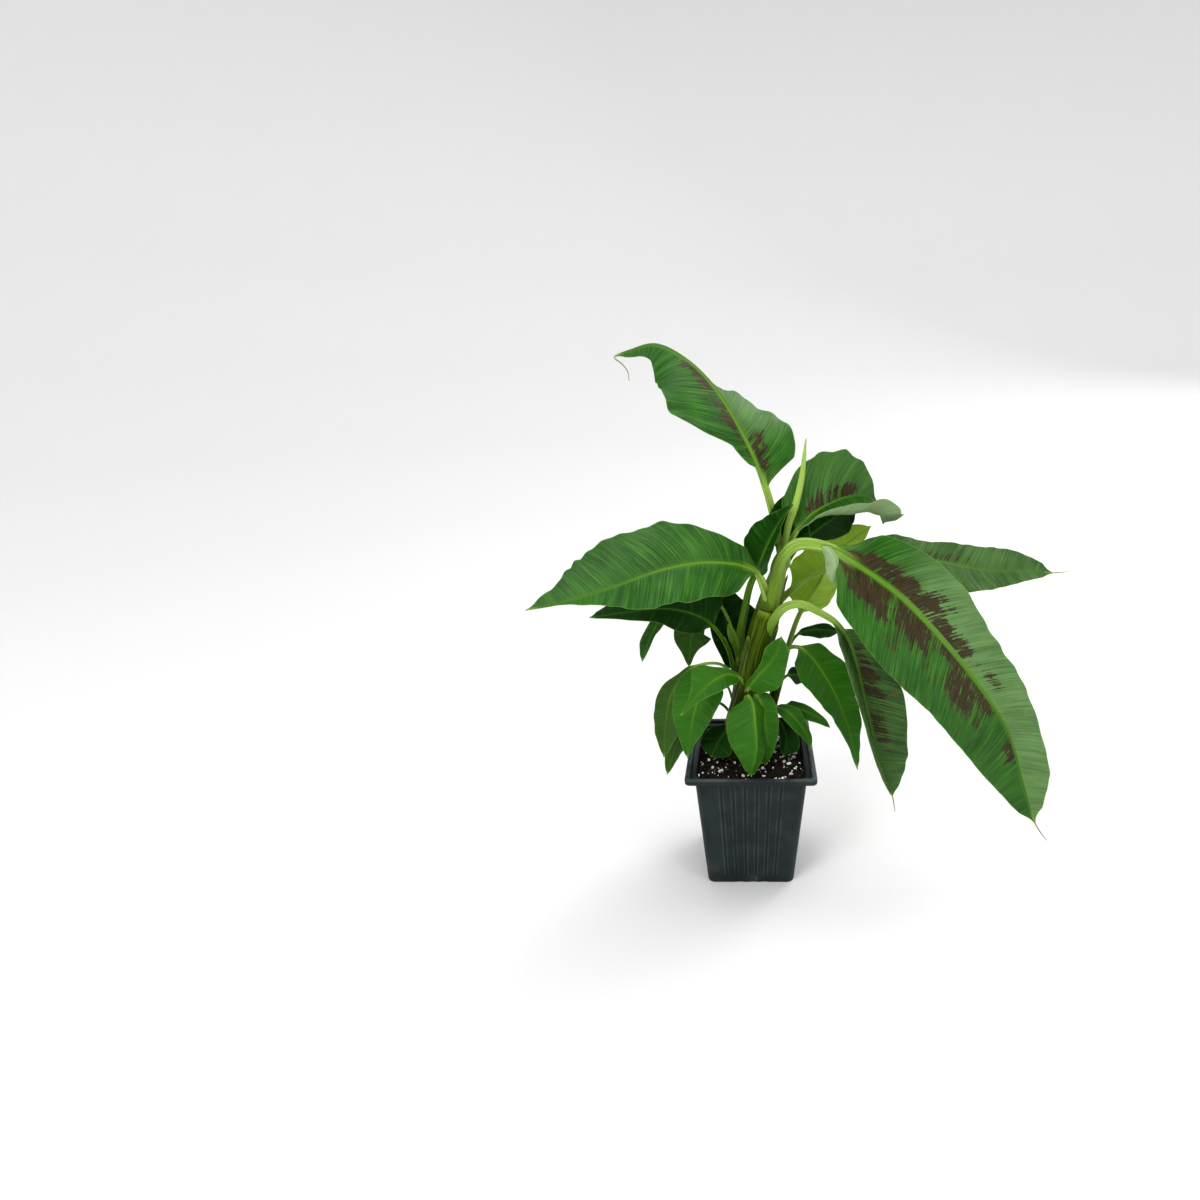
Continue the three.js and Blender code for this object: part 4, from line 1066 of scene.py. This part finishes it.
def wrap_shell(stem, wrap, number):
    """An old sheath lying round part of the stem."""
    low, high, wide, narrow, start, end, lift, style = wrap
    share = stem_rows(stem, start, end)
    radius = stem_radius(stem, share)
    f = (share - start) / (end - start)
    middle = np.radians(low + (high - low) * f)[:, None]
    half = np.radians(wide + (narrow - wide) * f)[:, None]
    if style == "point":
        half = half * np.sqrt(clamp(1 - f**5, 0.0004, 1))[:, None]
    across = np.linspace(-1, 1, WRAP_COLUMNS)
    across = np.concatenate([across, across[::-1]])[None, :]
    outer = np.concatenate([np.ones(WRAP_COLUMNS), np.zeros(WRAP_COLUMNS)])[None, :]
    wander = 0.1 * ripples(f * 20, 0 * f, number, 9)[:, None]
    angle = middle + half * (across + wander * np.abs(across))
    lap = stem_lap(stem, (angle / (2 * math.pi)) % 1, share[:, None])
    out = radius * lap + lift + WRAP_THICKNESS * outer * (1 - 0.6 * np.abs(across) ** 4)
    out = out + WRAP_SPRING * smooth(f[:, None], 0.86, 1.0)
    points = in_sections(*stem_frame(stem, share), np.cos(angle) * out, np.sin(angle) * out)
    shape = points.shape[:2]
    edge = np.maximum(smooth(np.abs(across), 0.86, 0.99), smooth(f[:, None], 0.94, 1.0))
    return points, dict(
        marks=triple(shape, edge),
        veins=triple(shape, angle * radius, points[..., 2], 0.35 + 0.13 * number),
    )


def stem_piece(stem, material):
    shells = [stem_core(stem)]
    shells += [wrap_shell(stem, wrap, number) for number, wrap in enumerate(stem["wraps"], 1)]
    build = Build()
    for points, values in shells:
        build.add(points, ring_faces(*points.shape[:2]), **values)
    slot = "young_leaf" if stem["name"] == "leaf_spear" else "stem"
    return build.object("fine_" + stem["name"], [material], slot, [stem["name"]])


# Pot


def wall_half(z):
    return WALL_BOTTOM_HALF + (WALL_TOP_HALF - WALL_BOTTOM_HALF) * z / SKIRT_BOTTOM


def square_ring(half, corner, z, flute=0.0):
    """Outline of a square with round corners, and flutes of that depth along its sides."""
    straight = half - corner
    along = np.linspace(-straight, straight, SIDE_POINTS)
    out = np.full(SIDE_POINTS, float(half))
    for i in range(FLUTES_PER_SIDE):
        centre = (i - (FLUTES_PER_SIDE - 1) / 2) * FLUTE_PITCH * half / WALL_TOP_HALF
        near = clamp(1 - np.abs(along - centre) / FLUTE_HALF_WIDTH, 0, 1)
        out = out - flute * 0.5 * (1 - np.cos(math.pi * near))
    angle = np.linspace(0, math.pi / 2, CORNER_POINTS + 2)[1:-1]
    along = np.concatenate([along, straight + corner * np.sin(angle)])
    out = np.concatenate([out, straight + corner * np.cos(angle)])
    ring = []
    for side in range(4):
        turn = side * math.pi / 2
        x = out * math.cos(turn) - along * math.sin(turn)
        y = out * math.sin(turn) + along * math.cos(turn)
        ring.append(np.stack([x, y, np.full(len(x), float(z))], axis=-1))
    return np.vstack(ring)


def rounded(half_from, z_from, half_to, z_to, corner, steps=4):
    """Rings round a quarter turn, from a level edge to an upright one or back."""
    rings = []
    for i in range(steps + 1):
        a = (i / steps) * math.pi / 2
        half = half_from + (half_to - half_from) * math.sin(a)
        z = z_from + (z_to - z_from) * (1 - math.cos(a))
        rings.append(square_ring(half, corner, z))
    return rings


def pot_rings():
    skirt = SKIRT_BOTTOM
    shelf = skirt + SHELF_THICKNESS
    inner = RIM_INNER_CORNER
    rings = [square_ring(wall_half(0) - FOOT_ROUNDING * 0.8, WALL_CORNER, 0)]
    rings += rounded(wall_half(0) - 0.6, 0.15, wall_half(FOOT_ROUNDING), FOOT_ROUNDING, WALL_CORNER)
    for z in np.linspace(FOOT_ROUNDING + 1, skirt - 0.6, 44):
        depth = FLUTE_DEPTH * window(z, FLUTE_BOTTOM, FLUTE_TOP, 3)
        rings.append(square_ring(wall_half(z), WALL_CORNER, z, depth))
    rings.append(square_ring(WALL_TOP_HALF + 0.4, WALL_CORNER, skirt - 0.05))
    rings.append(square_ring(WALL_TOP_HALF + 1.6, WALL_CORNER - 0.5, skirt))
    rings.append(square_ring(RIM_HALF - 1.2, RIM_CORNER, skirt))
    rings += rounded(RIM_HALF - 0.9, skirt + 0.05, RIM_HALF - 0.1, skirt + 0.8, RIM_CORNER)
    rings.append(square_ring(RIM_HALF, RIM_CORNER, POT_HEIGHT - 1.2))
    rings += rounded(RIM_HALF, POT_HEIGHT - 0.95, RIM_HALF - 0.9, POT_HEIGHT, RIM_CORNER)
    rings.append(square_ring(RIM_INNER_HALF + 0.9, RIM_INNER_CORNER, POT_HEIGHT))
    rings += rounded(RIM_INNER_HALF + 0.7, POT_HEIGHT - 0.05, RIM_INNER_HALF, POT_HEIGHT - 0.8, inner)
    rings.append(square_ring(RIM_INNER_HALF - 0.25, RIM_INNER_CORNER, shelf + 0.6))
    rings.append(square_ring(RIM_INNER_HALF - 0.7, RIM_INNER_CORNER, shelf))
    rings.append(square_ring(wall_half(shelf) - WALL_THICKNESS + 0.7, WALL_CORNER, shelf))
    for z in np.linspace(shelf - 0.5, FLOOR_THICKNESS + 1, 10):
        rings.append(square_ring(wall_half(z) - WALL_THICKNESS, WALL_CORNER, z))
    rings.append(square_ring(wall_half(0) - WALL_THICKNESS - 1, WALL_CORNER, FLOOR_THICKNESS))
    return rings


def round_cutter(radius, depth, at, level, turn):
    """A cylinder to cut with, as its own object, upright or level."""
    mesh = bpy.data.meshes.new("cutter")
    shape = bmesh.new()
    size = dict(radius1=radius * MM, radius2=radius * MM, depth=depth * MM)
    bmesh.ops.create_cone(shape, cap_ends=True, segments=CUTTER_SIDES, **size)
    shape.to_mesh(mesh)
    shape.free()
    cutter = bpy.data.objects.new("cutter", mesh)
    bpy.context.scene.collection.objects.link(cutter)
    cutter.rotation_euler = (math.pi / 2 if level else 0, 0, turn)
    cutter.location = [c * MM for c in at]
    return cutter


def cut(piece, cutters):
    """Takes the cutters out of the piece and deletes them."""
    for cutter in cutters:
        knife = piece.modifiers.new("cut", "BOOLEAN")
        knife.object = cutter
        knife.operation = "DIFFERENCE"
        knife.solver = "EXACT"
    bpy.context.view_layer.update()
    graph = bpy.context.evaluated_depsgraph_get()
    carved = bpy.data.meshes.new_from_object(piece.evaluated_get(graph))
    piece.modifiers.clear()
    piece.data = carved
    for cutter in cutters:
        bpy.data.objects.remove(cutter)


def pot_piece(material):
    rings = pot_rings()
    build = Build()
    build.add(np.vstack(rings), ring_faces(len(rings), len(rings[0])))
    pot = build.object("fine_pot", [material], "pot_plastic", ["pot"])
    cutters = []
    for x in (-DRAIN_HOLE_OFFSET, DRAIN_HOLE_OFFSET):
        for y in (-DRAIN_HOLE_OFFSET, DRAIN_HOLE_OFFSET):
            cutters.append(round_cutter(DRAIN_HOLE_RADIUS, 4 * FLOOR_THICKNESS, (x, y, 0), False, 0))
    for side in range(4):
        turn = side * math.pi / 2
        for along in NOTCH_OFFSETS:
            out = WALL_BOTTOM_HALF - 0.4
            x = along * math.cos(turn) + out * math.sin(turn)
            y = along * math.sin(turn) - out * math.cos(turn)
            at = (x, y, NOTCH_HEIGHT - NOTCH_RADIUS)
            cutters.append(round_cutter(NOTCH_RADIUS, 2 * NOTCH_DEPTH, at, True, turn))
    cut(pot, cutters)
    return pot


# Soil


def soil_height(x, y):
    slow = 0.9 * np.sin(x * 0.09 + 1.1) * np.cos(y * 0.08 - 0.4)
    quick = 0.45 * np.sin(x * 0.33 + y * 0.21) + 0.35 * np.sin(y * 0.41 - x * 0.17 + 2)
    return SOIL_TOP + slow + quick


def soil_surface(x, y):
    fine = 0.42 * ripples(x, y, 5, 4.2, 12) + 0.22 * ripples(x, y, 6, 1.9, 12)
    return soil_height(x, y) + fine


def soil_shell(build):
    """The soil's uneven top with its sides and its bottom."""
    top_half = wall_half(SOIL_TOP) - WALL_THICKNESS - SOIL_GAP
    low_half = wall_half(FLOOR_THICKNESS) - WALL_THICKNESS - SOIL_GAP
    rows = []
    bottom = FLOOR_THICKNESS + SOIL_GAP
    outline = square_ring(1.0, WALL_CORNER / top_half, 0)[:, :2]
    for share in np.linspace(0.006, 1, SOIL_RINGS):
        x = outline[:, 0] * top_half * share
        y = outline[:, 1] * top_half * share
        rows.append(np.stack([x, y, soil_surface(x, y)], axis=-1))
    for f in np.linspace(0.04, 1, 8):
        half = top_half + (low_half - top_half) * f
        x = outline[:, 0] * half
        y = outline[:, 1] * half
        z = soil_surface(outline[:, 0] * top_half, outline[:, 1] * top_half) * (1 - f) + bottom * f
        rows.append(np.stack([x, y, z], axis=-1))
    faces = [face[::-1] for face in ring_faces(len(rows), len(rows[0]))]
    build.add(np.vstack(rows), faces, 0, grain=np.tile((0.5, 0, 0), (len(rows) * len(rows[0]), 1)))


def ball(subdivisions):
    shape = bmesh.new()
    bmesh.ops.create_icosphere(shape, subdivisions=subdivisions, radius=1)
    points = np.array([v.co[:] for v in shape.verts])
    faces = [[v.index for v in f.verts] for f in shape.faces]
    shape.free()
    return points, faces


def turned(points, draw):
    """Points turned by random angles."""
    for axis in (0, 1, 2):
        angle = draw.uniform(0, 2 * math.pi)
        a, b = [k for k in (0, 1, 2) if k != axis]
        first = points[:, a] * math.cos(angle) - points[:, b] * math.sin(angle)
        second = points[:, a] * math.sin(angle) + points[:, b] * math.cos(angle)
        points = points.copy()
        points[:, a] = first
        points[:, b] = second
    return points


def scatter(build, count, seed, slot, sizes, shape, lumps, sink, subdivisions):
    """Grains of one kind lying on the soil."""
    draw = random.Random(seed)
    ball_points, ball_faces = ball(subdivisions)
    reach = wall_half(SOIL_TOP) - WALL_THICKNESS - SOIL_GAP
    for number in range(count):
        size = sizes[0] + (sizes[1] - sizes[0]) * draw.random() ** 2
        form = ball_points * [s * draw.uniform(0.75, 1.25) for s in shape]
        at = 3 * ball_points
        swell = 1 + lumps * ripples(at[:, 0] + ball_points[:, 2], at[:, 1], seed + number, 4)
        form = turned(form * swell[:, None], draw) * size
        limit = reach - 0.8 * size
        x = draw.uniform(-limit, limit)
        y = draw.uniform(-limit, limit)
        z = float(soil_surface(np.array([x]), np.array([y]))[0]) + size * sink
        tint = np.tile((draw.random(), draw.random(), 0), (len(form), 1))
        build.add(form + (x, y, z), ball_faces, slot, grain=tint)


def soil_piece(materials):
    build = Build()
    soil_shell(build)
    for grains in (CRUMBS, PERLITE_GRAINS, BARK_BITS):
        scatter(build, *grains)
    return build.object("fine_soil", materials, "potting_soil", ["soil"])


# Materials


class Maker:
    """Builds the nodes of one material."""

    def __init__(self, name):
        self.material = bpy.data.materials.new(name)
        self.material.use_nodes = True
        self.tree = self.material.node_tree
        self.tree.nodes.clear()

    def node(self, kind, inputs=None, **settings):
        made = self.tree.nodes.new(kind)
        for key, value in settings.items():
            setattr(made, key, value)
        for key, value in (inputs or {}).items():
            self.put(made.inputs[key], value)
        return made

    def put(self, socket, value):
        if isinstance(value, bpy.types.NodeSocket):
            self.tree.links.new(value, socket)
        elif isinstance(value, tuple) and len(value) == 3 and socket.type == "RGBA":
            socket.default_value = (*value, 1.0)
        else:
            socket.default_value = value

    def math(self, operation, a, b=0.0):
        return self.node("ShaderNodeMath", {0: a, 1: b}, operation=operation).outputs[0]

    def times(self, a, b):
        return self.math("MULTIPLY", a, b)

    def plus(self, a, b):
        return self.math("ADD", a, b)

    def minus(self, a, b):
        return self.math("SUBTRACT", a, b)

    def mix(self, share, a, b):
        made = self.node("ShaderNodeMix", {0: share, 6: a, 7: b}, data_type="RGBA")
        return made.outputs[2]

    def span(self, value, low, high, to_low=0.0, to_high=1.0):
        """Smooth step of a value from low to high."""
        inputs = {0: value, 1: low, 2: high, 3: to_low, 4: to_high}
        return self.node("ShaderNodeMapRange", inputs, interpolation_type="SMOOTHSTEP").outputs[0]

    def vector(self, x, y, z=0.0):
        return self.node("ShaderNodeCombineXYZ", {0: x, 1: y, 2: z}).outputs[0]

    def painted(self, name):
        """The three painted values of that name."""
        read = self.node("ShaderNodeAttribute", attribute_name=name)
        split = self.node("ShaderNodeSeparateXYZ", {0: read.outputs["Vector"]})
        return split.outputs

    def noise(self, vector, scale, detail=2.0, roughness=0.5):
        inputs = {"Vector": vector, "Scale": scale, "Detail": detail, "Roughness": roughness}
        return self.node("ShaderNodeTexNoise", inputs).outputs[0]

    def streaks(self, x, y, pace_x, pace_y, layer, detail, roughness):
        """Noise over two painted lengths, each with its own pace."""
        at = self.vector(self.times(x, pace_x), self.times(y, pace_y), layer)
        return self.noise(at, 1.0, detail, roughness)

    def tinted(self, colour, tint, mask, amount):
        """The colour, with some of the tint where the mask is 1."""
        return self.mix(self.times(mask, amount), colour, tint)

    def object_place(self):
        return self.node("ShaderNodeTexCoord").outputs["Object"]

    def bump(self, height, strength, distance):
        inputs = {"Height": height, "Strength": strength, "Distance": distance}
        return self.node("ShaderNodeBump", inputs).outputs[0]

    def finish(self, colour, roughness, normal, translucent=None, share=0.0, **levels):
        values = {"Base Color": colour, "Roughness": roughness, "Normal": normal}
        values.update({key.replace("_", " "): value for key, value in levels.items()})
        shader = self.node("ShaderNodeBsdfPrincipled", values).outputs[0]
        if translucent is not None:
            glow = self.node("ShaderNodeBsdfTranslucent", {"Color": translucent, "Normal": normal}).outputs[0]
            shader = self.node("ShaderNodeMixShader", {0: share, 1: shader, 2: glow}).outputs[0]
        self.node("ShaderNodeOutputMaterial", {"Surface": shader})
        return self.material


def leaf_values(make):
    """What is painted on a leaf, and the noises that follow its veins."""
    read = SimpleNamespace()
    # The third value of place is the share of painted sheen on each half
    read.share_along, read.under, read.wax = make.painted("place")
    read.vein, read.from_rib, read.along = make.painted("veins")
    read.patch, read.rim, read.spot = make.painted("marks")
    read.middle, read.stalk, read.across = make.painted("parts")
    read.fine = make.streaks(read.vein, read.from_rib, 0.85, 0.03, read.under, 3.0, 0.65)
    read.hair = make.streaks(read.vein, read.from_rib, 2.6, 0.08, 9.0, 2.0, 0.6)
    read.grain = make.streaks(read.across, read.along, 1.7, 0.03, 2.0, 3.0, 0.6)
    read.cloud = make.noise(make.object_place(), 34.0, 3.0, 0.55)
    broad = make.streaks(read.vein, read.from_rib, 0.16, 0.02, 4.0, 2.0, 0.5)
    blend = make.plus(make.times(read.fine, 0.58), make.times(broad, 0.10))
    read.blend = make.plus(blend, make.times(read.cloud, 0.32))
    return read


def leaf_green(make, read, kind):
    """Green of the upper side, with pale veins and painted sheen, and a lime glow near the rib."""
    deep, bright, _, rib_share, soft = LEAF_COLOURS[kind]
    upper = make.mix(make.span(read.blend, 0.5 - soft, 0.5 + soft), deep, bright)
    # Pale vein lines: the veins' own paler green, with a painted sheen along them
    vein_sheen_lines = make.times(make.span(read.fine, 0.53, 0.68), make.span(read.cloud, 0.30, 0.60, 0.4, 1.0))
    upper = make.tinted(upper, PALE_VEIN_SHEEN, vein_sheen_lines, 0.42 * rib_share)
    # Painted sheen: a greyer, paler green where the leaf would catch the light's reflection
    greyed = make.times(read.wax, make.span(read.blend, 0.35, 0.60, 0.55, 1.0))
    upper = make.mix(greyed, upper, SHEEN)
    return make.tinted(upper, LIME, make.span(read.middle, -1.0, 0.35), 0.2 * rib_share)


def leaf_maroon(make, read):
    """Where the leaf is maroon: patches that break up along the veins."""
    blot = make.streaks(read.vein, read.from_rib, 0.16, 0.13, 6.0, 3.0, 0.6)
    by_vein = make.times(make.span(read.fine, 0.38, 0.60), 1.15)
    by_cloud = make.times(make.span(blot, 0.40, 0.60), 0.75)
    torn = make.minus(make.times(read.patch, 1.85), make.plus(by_vein, by_cloud))
    return make.times(make.span(torn, 0.0, 0.16), make.span(read.middle, 0.55, 0.20))


def with_rib(make, read, colour, rib_share):
    """The colour, with the rib over it on both sides of the leaf."""
    rib_far = make.mix(make.span(read.share_along, 0.15, 0.95), LIME, DEEP_LIME)
    rib = make.mix(make.span(read.grain, 0.3, 0.7, 0.35, 0.0), rib_far, DEEP_LIME)
    rib = make.tinted(rib, PALE_LIME, read.under, 0.7 * rib_share)
    above = make.times(make.span(read.middle, 0.62, 0.92), make.minus(1.0, read.under))
    below = make.times(make.span(read.middle, 0.02, 0.42), read.under)
    return make.mix(make.times(make.plus(above, below), rib_share), colour, rib)


def with_stalk(make, read, colour, shaded):
    """The colour, with the streaked stalk over it."""
    ends = (DEEP_LIME, LIME) if shaded else (LIME, PALE_LIME)
    stalk = make.mix(make.span(read.grain, 0.3, 0.7), *ends)
    # Darker towards the stem: painted shade at the stalk's foot, over its own yellower green
    stalk = make.mix(make.span(read.along, -30.0, -64.0, 0.0, 0.8), stalk, STALK_FOOT_SHADE)
    return make.mix(read.stalk, colour, stalk)


def leaf_material(kind):
    under_colour = LEAF_COLOURS[kind][2]
    rib_share = LEAF_COLOURS[kind][3]
    shaded = kind in SHADED_KINDS
    make = Maker("leaf_" + kind)
    read = leaf_values(make)
    maroon = leaf_maroon(make, read)
    maroon_tint = make.mix(make.span(read.hair, 0.42, 0.66), MAROON, LIGHT_MAROON)
    upper = make.tinted(leaf_green(make, read, kind), maroon_tint, maroon, 0.92)

    # Paler underside, with the maroon showing faintly through
    dim_under = tuple(0.70 * c for c in under_colour)
    lower = make.mix(make.span(read.blend, 0.34, 0.70), dim_under, under_colour)
    lower = make.tinted(lower, MAROON, maroon, 0.25)
    colour = make.mix(make.span(read.under, 0.35, 0.65), upper, lower)

    # Rib, stalk, rim and dry places
    colour = with_rib(make, read, colour, rib_share)
    colour = with_stalk(make, read, colour, shaded)
    colour = make.tinted(colour, PALE_RIM, read.rim, 0.5)
    colour = make.tinted(colour, DRY, make.span(read.share_along, 0.985, 1.02), 0.8)
    colour = make.mix(read.spot, colour, DRY)

    relief = make.plus(make.times(read.fine, 0.9), make.times(read.hair, 0.35))
    relief = make.plus(relief, make.times(read.grain, 0.5))
    normal = make.bump(relief, 0.6, 0.0008)
    rough = make.span(read.blend, 0.3, 0.75, 0.40, 0.56)
    glow = make.mix(0.5, colour, LIME)
    glow_share = YOUNG_GLOW if kind == "young" else LEAF_GLOW
    shine = SHADED_SHINE if shaded else LEAF_SHINE
    return make.finish(colour, rough, normal, glow, glow_share, Specular_IOR_Level=shine)


def stem_material(name, colours):
    dull, bright, edge_tint = colours
    make = Maker(name)
    edge = make.painted("marks")[0]
    around, height, wrap = make.painted("veins")
    grain = make.streaks(around, height, 1.4, 0.035, wrap, 4.0, 0.6)
    slow = make.streaks(around, height, 0.16, 0.03, wrap, 2.0, 0.5)
    colour = make.mix(make.span(grain, 0.35, 0.68), dull, bright)
    blush = make.times(make.span(slow, 0.52, 0.72), make.span(height, 235.0, 130.0))
    colour = make.tinted(colour, BLUSH, blush, 0.7)
    colour = make.tinted(colour, PALE_LIME, make.span(height, 222.0, 268.0), 0.6)
    colour = make.tinted(colour, edge_tint, edge, 0.6)
    normal = make.bump(grain, 0.5, 0.0006)
    rough = make.span(grain, 0.3, 0.7, 0.38, 0.52)
    return make.finish(colour, rough, normal, Specular_IOR_Level=0.12)


def flute_masks(make, place):
    """Where the pot's grooves run and the edges beside them, for painted shade and painted highlights, and
    the height, in metres.
    """
    x, y, height = make.node("ShaderNodeSeparateXYZ", {0: place}).outputs
    far_x = make.math("ABSOLUTE", x)
    far_y = make.math("ABSOLUTE", y)
    along = make.math("DIVIDE", make.math("MINIMUM", far_x, far_y), make.math("MAXIMUM", far_x, far_y))
    turns = make.math("DIVIDE", along, FLUTE_PITCH / WALL_TOP_HALF)
    off = make.math("ABSOLUTE", make.minus(make.math("FRACT", turns), 0.5))
    off = make.times(off, FLUTE_PITCH)
    last = FLUTES_PER_SIDE / 2
    inside = make.times(make.span(turns, last, last - 0.1), make.span(height, 0.099, 0.096))
    inside = make.times(inside, make.span(height, 0.006, 0.010))
    groove = make.times(make.span(off, 1.0, 0.4), inside)
    ridge_highlight = make.times(make.span(off, 1.1, 1.5), make.span(off, 2.3, 1.9))
    return groove, make.times(ridge_highlight, inside), height


def pot_material():
    make = Maker("pot_plastic_moulded")
    place = make.object_place()
    groove, ridge_highlight, height = flute_masks(make, place)
    stretch = make.node("ShaderNodeMapping", {"Vector": place, "Scale": (420.0, 420.0, 9.0)}).outputs[0]
    scratch = make.noise(stretch, 1.0, 3.0, 0.6)
    dust = make.noise(place, 48.0, 5.0, 0.62)
    grain = make.noise(place, 2600.0, 2.0, 0.5)
    worn = make.times(make.span(scratch, 0.60, 0.78), make.span(dust, 0.45, 0.7))
    ridge_highlight = make.times(ridge_highlight, make.span(dust, 0.3, 0.6, 0.25, 1.0))
    # Painted highlight along the top of the rim
    rim_highlight = make.times(make.span(height, 0.1046, 0.1057), make.span(dust, 0.3, 0.6))
    splash = make.times(make.span(dust, 0.55, 0.7), make.span(height, 0.03, 0.0))
    colour = make.mix(make.span(dust, 0.35, 0.75), *PLASTIC)
    colour = make.tinted(colour, WORN_PLASTIC, worn, 0.35)
    # Painted shade in the grooves and painted highlights on the edges beside them
    colour = make.tinted(colour, GROOVE_SHADE_PLASTIC, groove, 0.75)
    colour = make.tinted(colour, RIDGE_HIGHLIGHT_PLASTIC, ridge_highlight, 0.55)
    colour = make.tinted(colour, RIM_HIGHLIGHT_PLASTIC, rim_highlight, 0.5)
    colour = make.tinted(colour, DRIED_SPLASH, splash, 0.35)
    relief = make.plus(make.times(grain, 0.3), scratch)
    relief = make.minus(relief, make.times(groove, 1.5))
    rough = make.span(dust, 0.3, 0.75, 0.40, 0.56)
    return make.finish(colour, rough, make.bump(relief, 0.22, 0.0004), Specular_IOR_Level=0.3)


def grain_material(name, colours, bump_scale, bump_distance, roughness):
    make = Maker(name)
    place = make.object_place()
    tint = make.painted("grain")[0]
    cloud = make.noise(place, 700.0, 4.0, 0.6)
    fine = make.noise(place, bump_scale, 3.0, 0.6)
    share = make.plus(make.times(tint, 0.55), make.times(cloud, 0.6))
    colour = make.mix(make.span(share, 0.3, 0.9), *colours)
    normal = make.bump(fine, 0.8, bump_distance)
    return make.finish(colour, roughness, normal, Specular_IOR_Level=0.25)


def floor_material():
    make = Maker("floor_paper")
    place = make.object_place()
    tooth = make.noise(place, 900.0, 2.0, 0.5)
    colour = make.mix(tooth, *PAPER)
    return make.finish(colour, 0.85, make.bump(tooth, 0.1, 0.0002), Specular_IOR_Level=0.1)


# Studio


def make_floor():
    """A round floor that sweeps up into a backdrop on every side."""
    shape = bmesh.new()
    rings = []
    for radius, z in FLOOR_OUTLINE:
        ring = []
        for k in range(FLOOR_SIDES):
            a = 2 * math.pi * k / FLOOR_SIDES
            ring.append(shape.verts.new((radius * math.cos(a), radius * math.sin(a), z)))
        rings.append(ring)
    shape.faces.new(rings[0])
    for low, high in zip(rings, rings[1:]):
        for k in range(FLOOR_SIDES):
            following = (k + 1) % FLOOR_SIDES
            shape.faces.new((low[k], high[k], high[following], low[following]))
    mesh = bpy.data.meshes.new("studio_floor")
    shape.to_mesh(mesh)
    shape.free()
    mesh.materials.append(floor_material())
    mesh.shade_smooth()
    floor = bpy.data.objects.new("studio_floor", mesh)
    bpy.context.scene.collection.objects.link(floor)


def make_light(name, place, aim, size, power):
    data = bpy.data.lights.new(name, "AREA")
    data.shape = "DISK"
    data.size = size
    data.energy = power
    light = bpy.data.objects.new(name, data)
    light.location = place
    way = np.array(aim, float) - np.array(place, float)
    light.rotation_euler = (
        math.atan2(math.hypot(way[0], way[1]), -way[2]),
        0,
        math.atan2(way[1], way[0]) - math.pi / 2,
    )
    bpy.context.scene.collection.objects.link(light)


def make_studio():
    make_floor()
    for light in LIGHTS:
        make_light(*light)
    world = bpy.data.worlds.new("studio")
    world.use_nodes = True
    world.node_tree.nodes["Background"].inputs[0].default_value = (1, 1, 1, 1)
    world.node_tree.nodes["Background"].inputs[1].default_value = WORLD_LEVEL
    bpy.context.scene.world = world
    bpy.context.scene.view_settings.view_transform = "Standard"
    bpy.context.scene.view_settings.look = "Medium High Contrast"


def make_camera():
    data = bpy.data.cameras.new("camera")
    data.sensor_width = SENSOR_WIDTH
    data.lens = SENSOR_WIDTH * FOCAL_PX / IMAGE_PX
    data.shift_x = (IMAGE_PX / 2 - AXIS_PX) / IMAGE_PX
    camera = bpy.data.objects.new("camera", data)
    camera.location = CAMERA_PLACE
    camera.rotation_euler = (math.radians(90 - CAMERA_PITCH), 0, 0)
    bpy.context.scene.collection.objects.link(camera)
    bpy.context.scene.camera = camera


make_camera()
make_studio()

leaf_materials = {kind: leaf_material(kind) for kind in LEAF_COLOURS}
for number, leaf in enumerate(LEAVES):
    leaf_piece(leaf, number, leaf_materials)

sheath = stem_material("stem_sheaths", SHEATH_COLOURS)
spear = stem_material("rolled_leaf", SPEAR_COLOURS)
for stem in STEMS:
    stem_piece(stem, spear if stem["name"] == "leaf_spear" else sheath)

pot_piece(pot_material())
soil_piece([grain_material(*look) for look in SOIL_LOOKS])
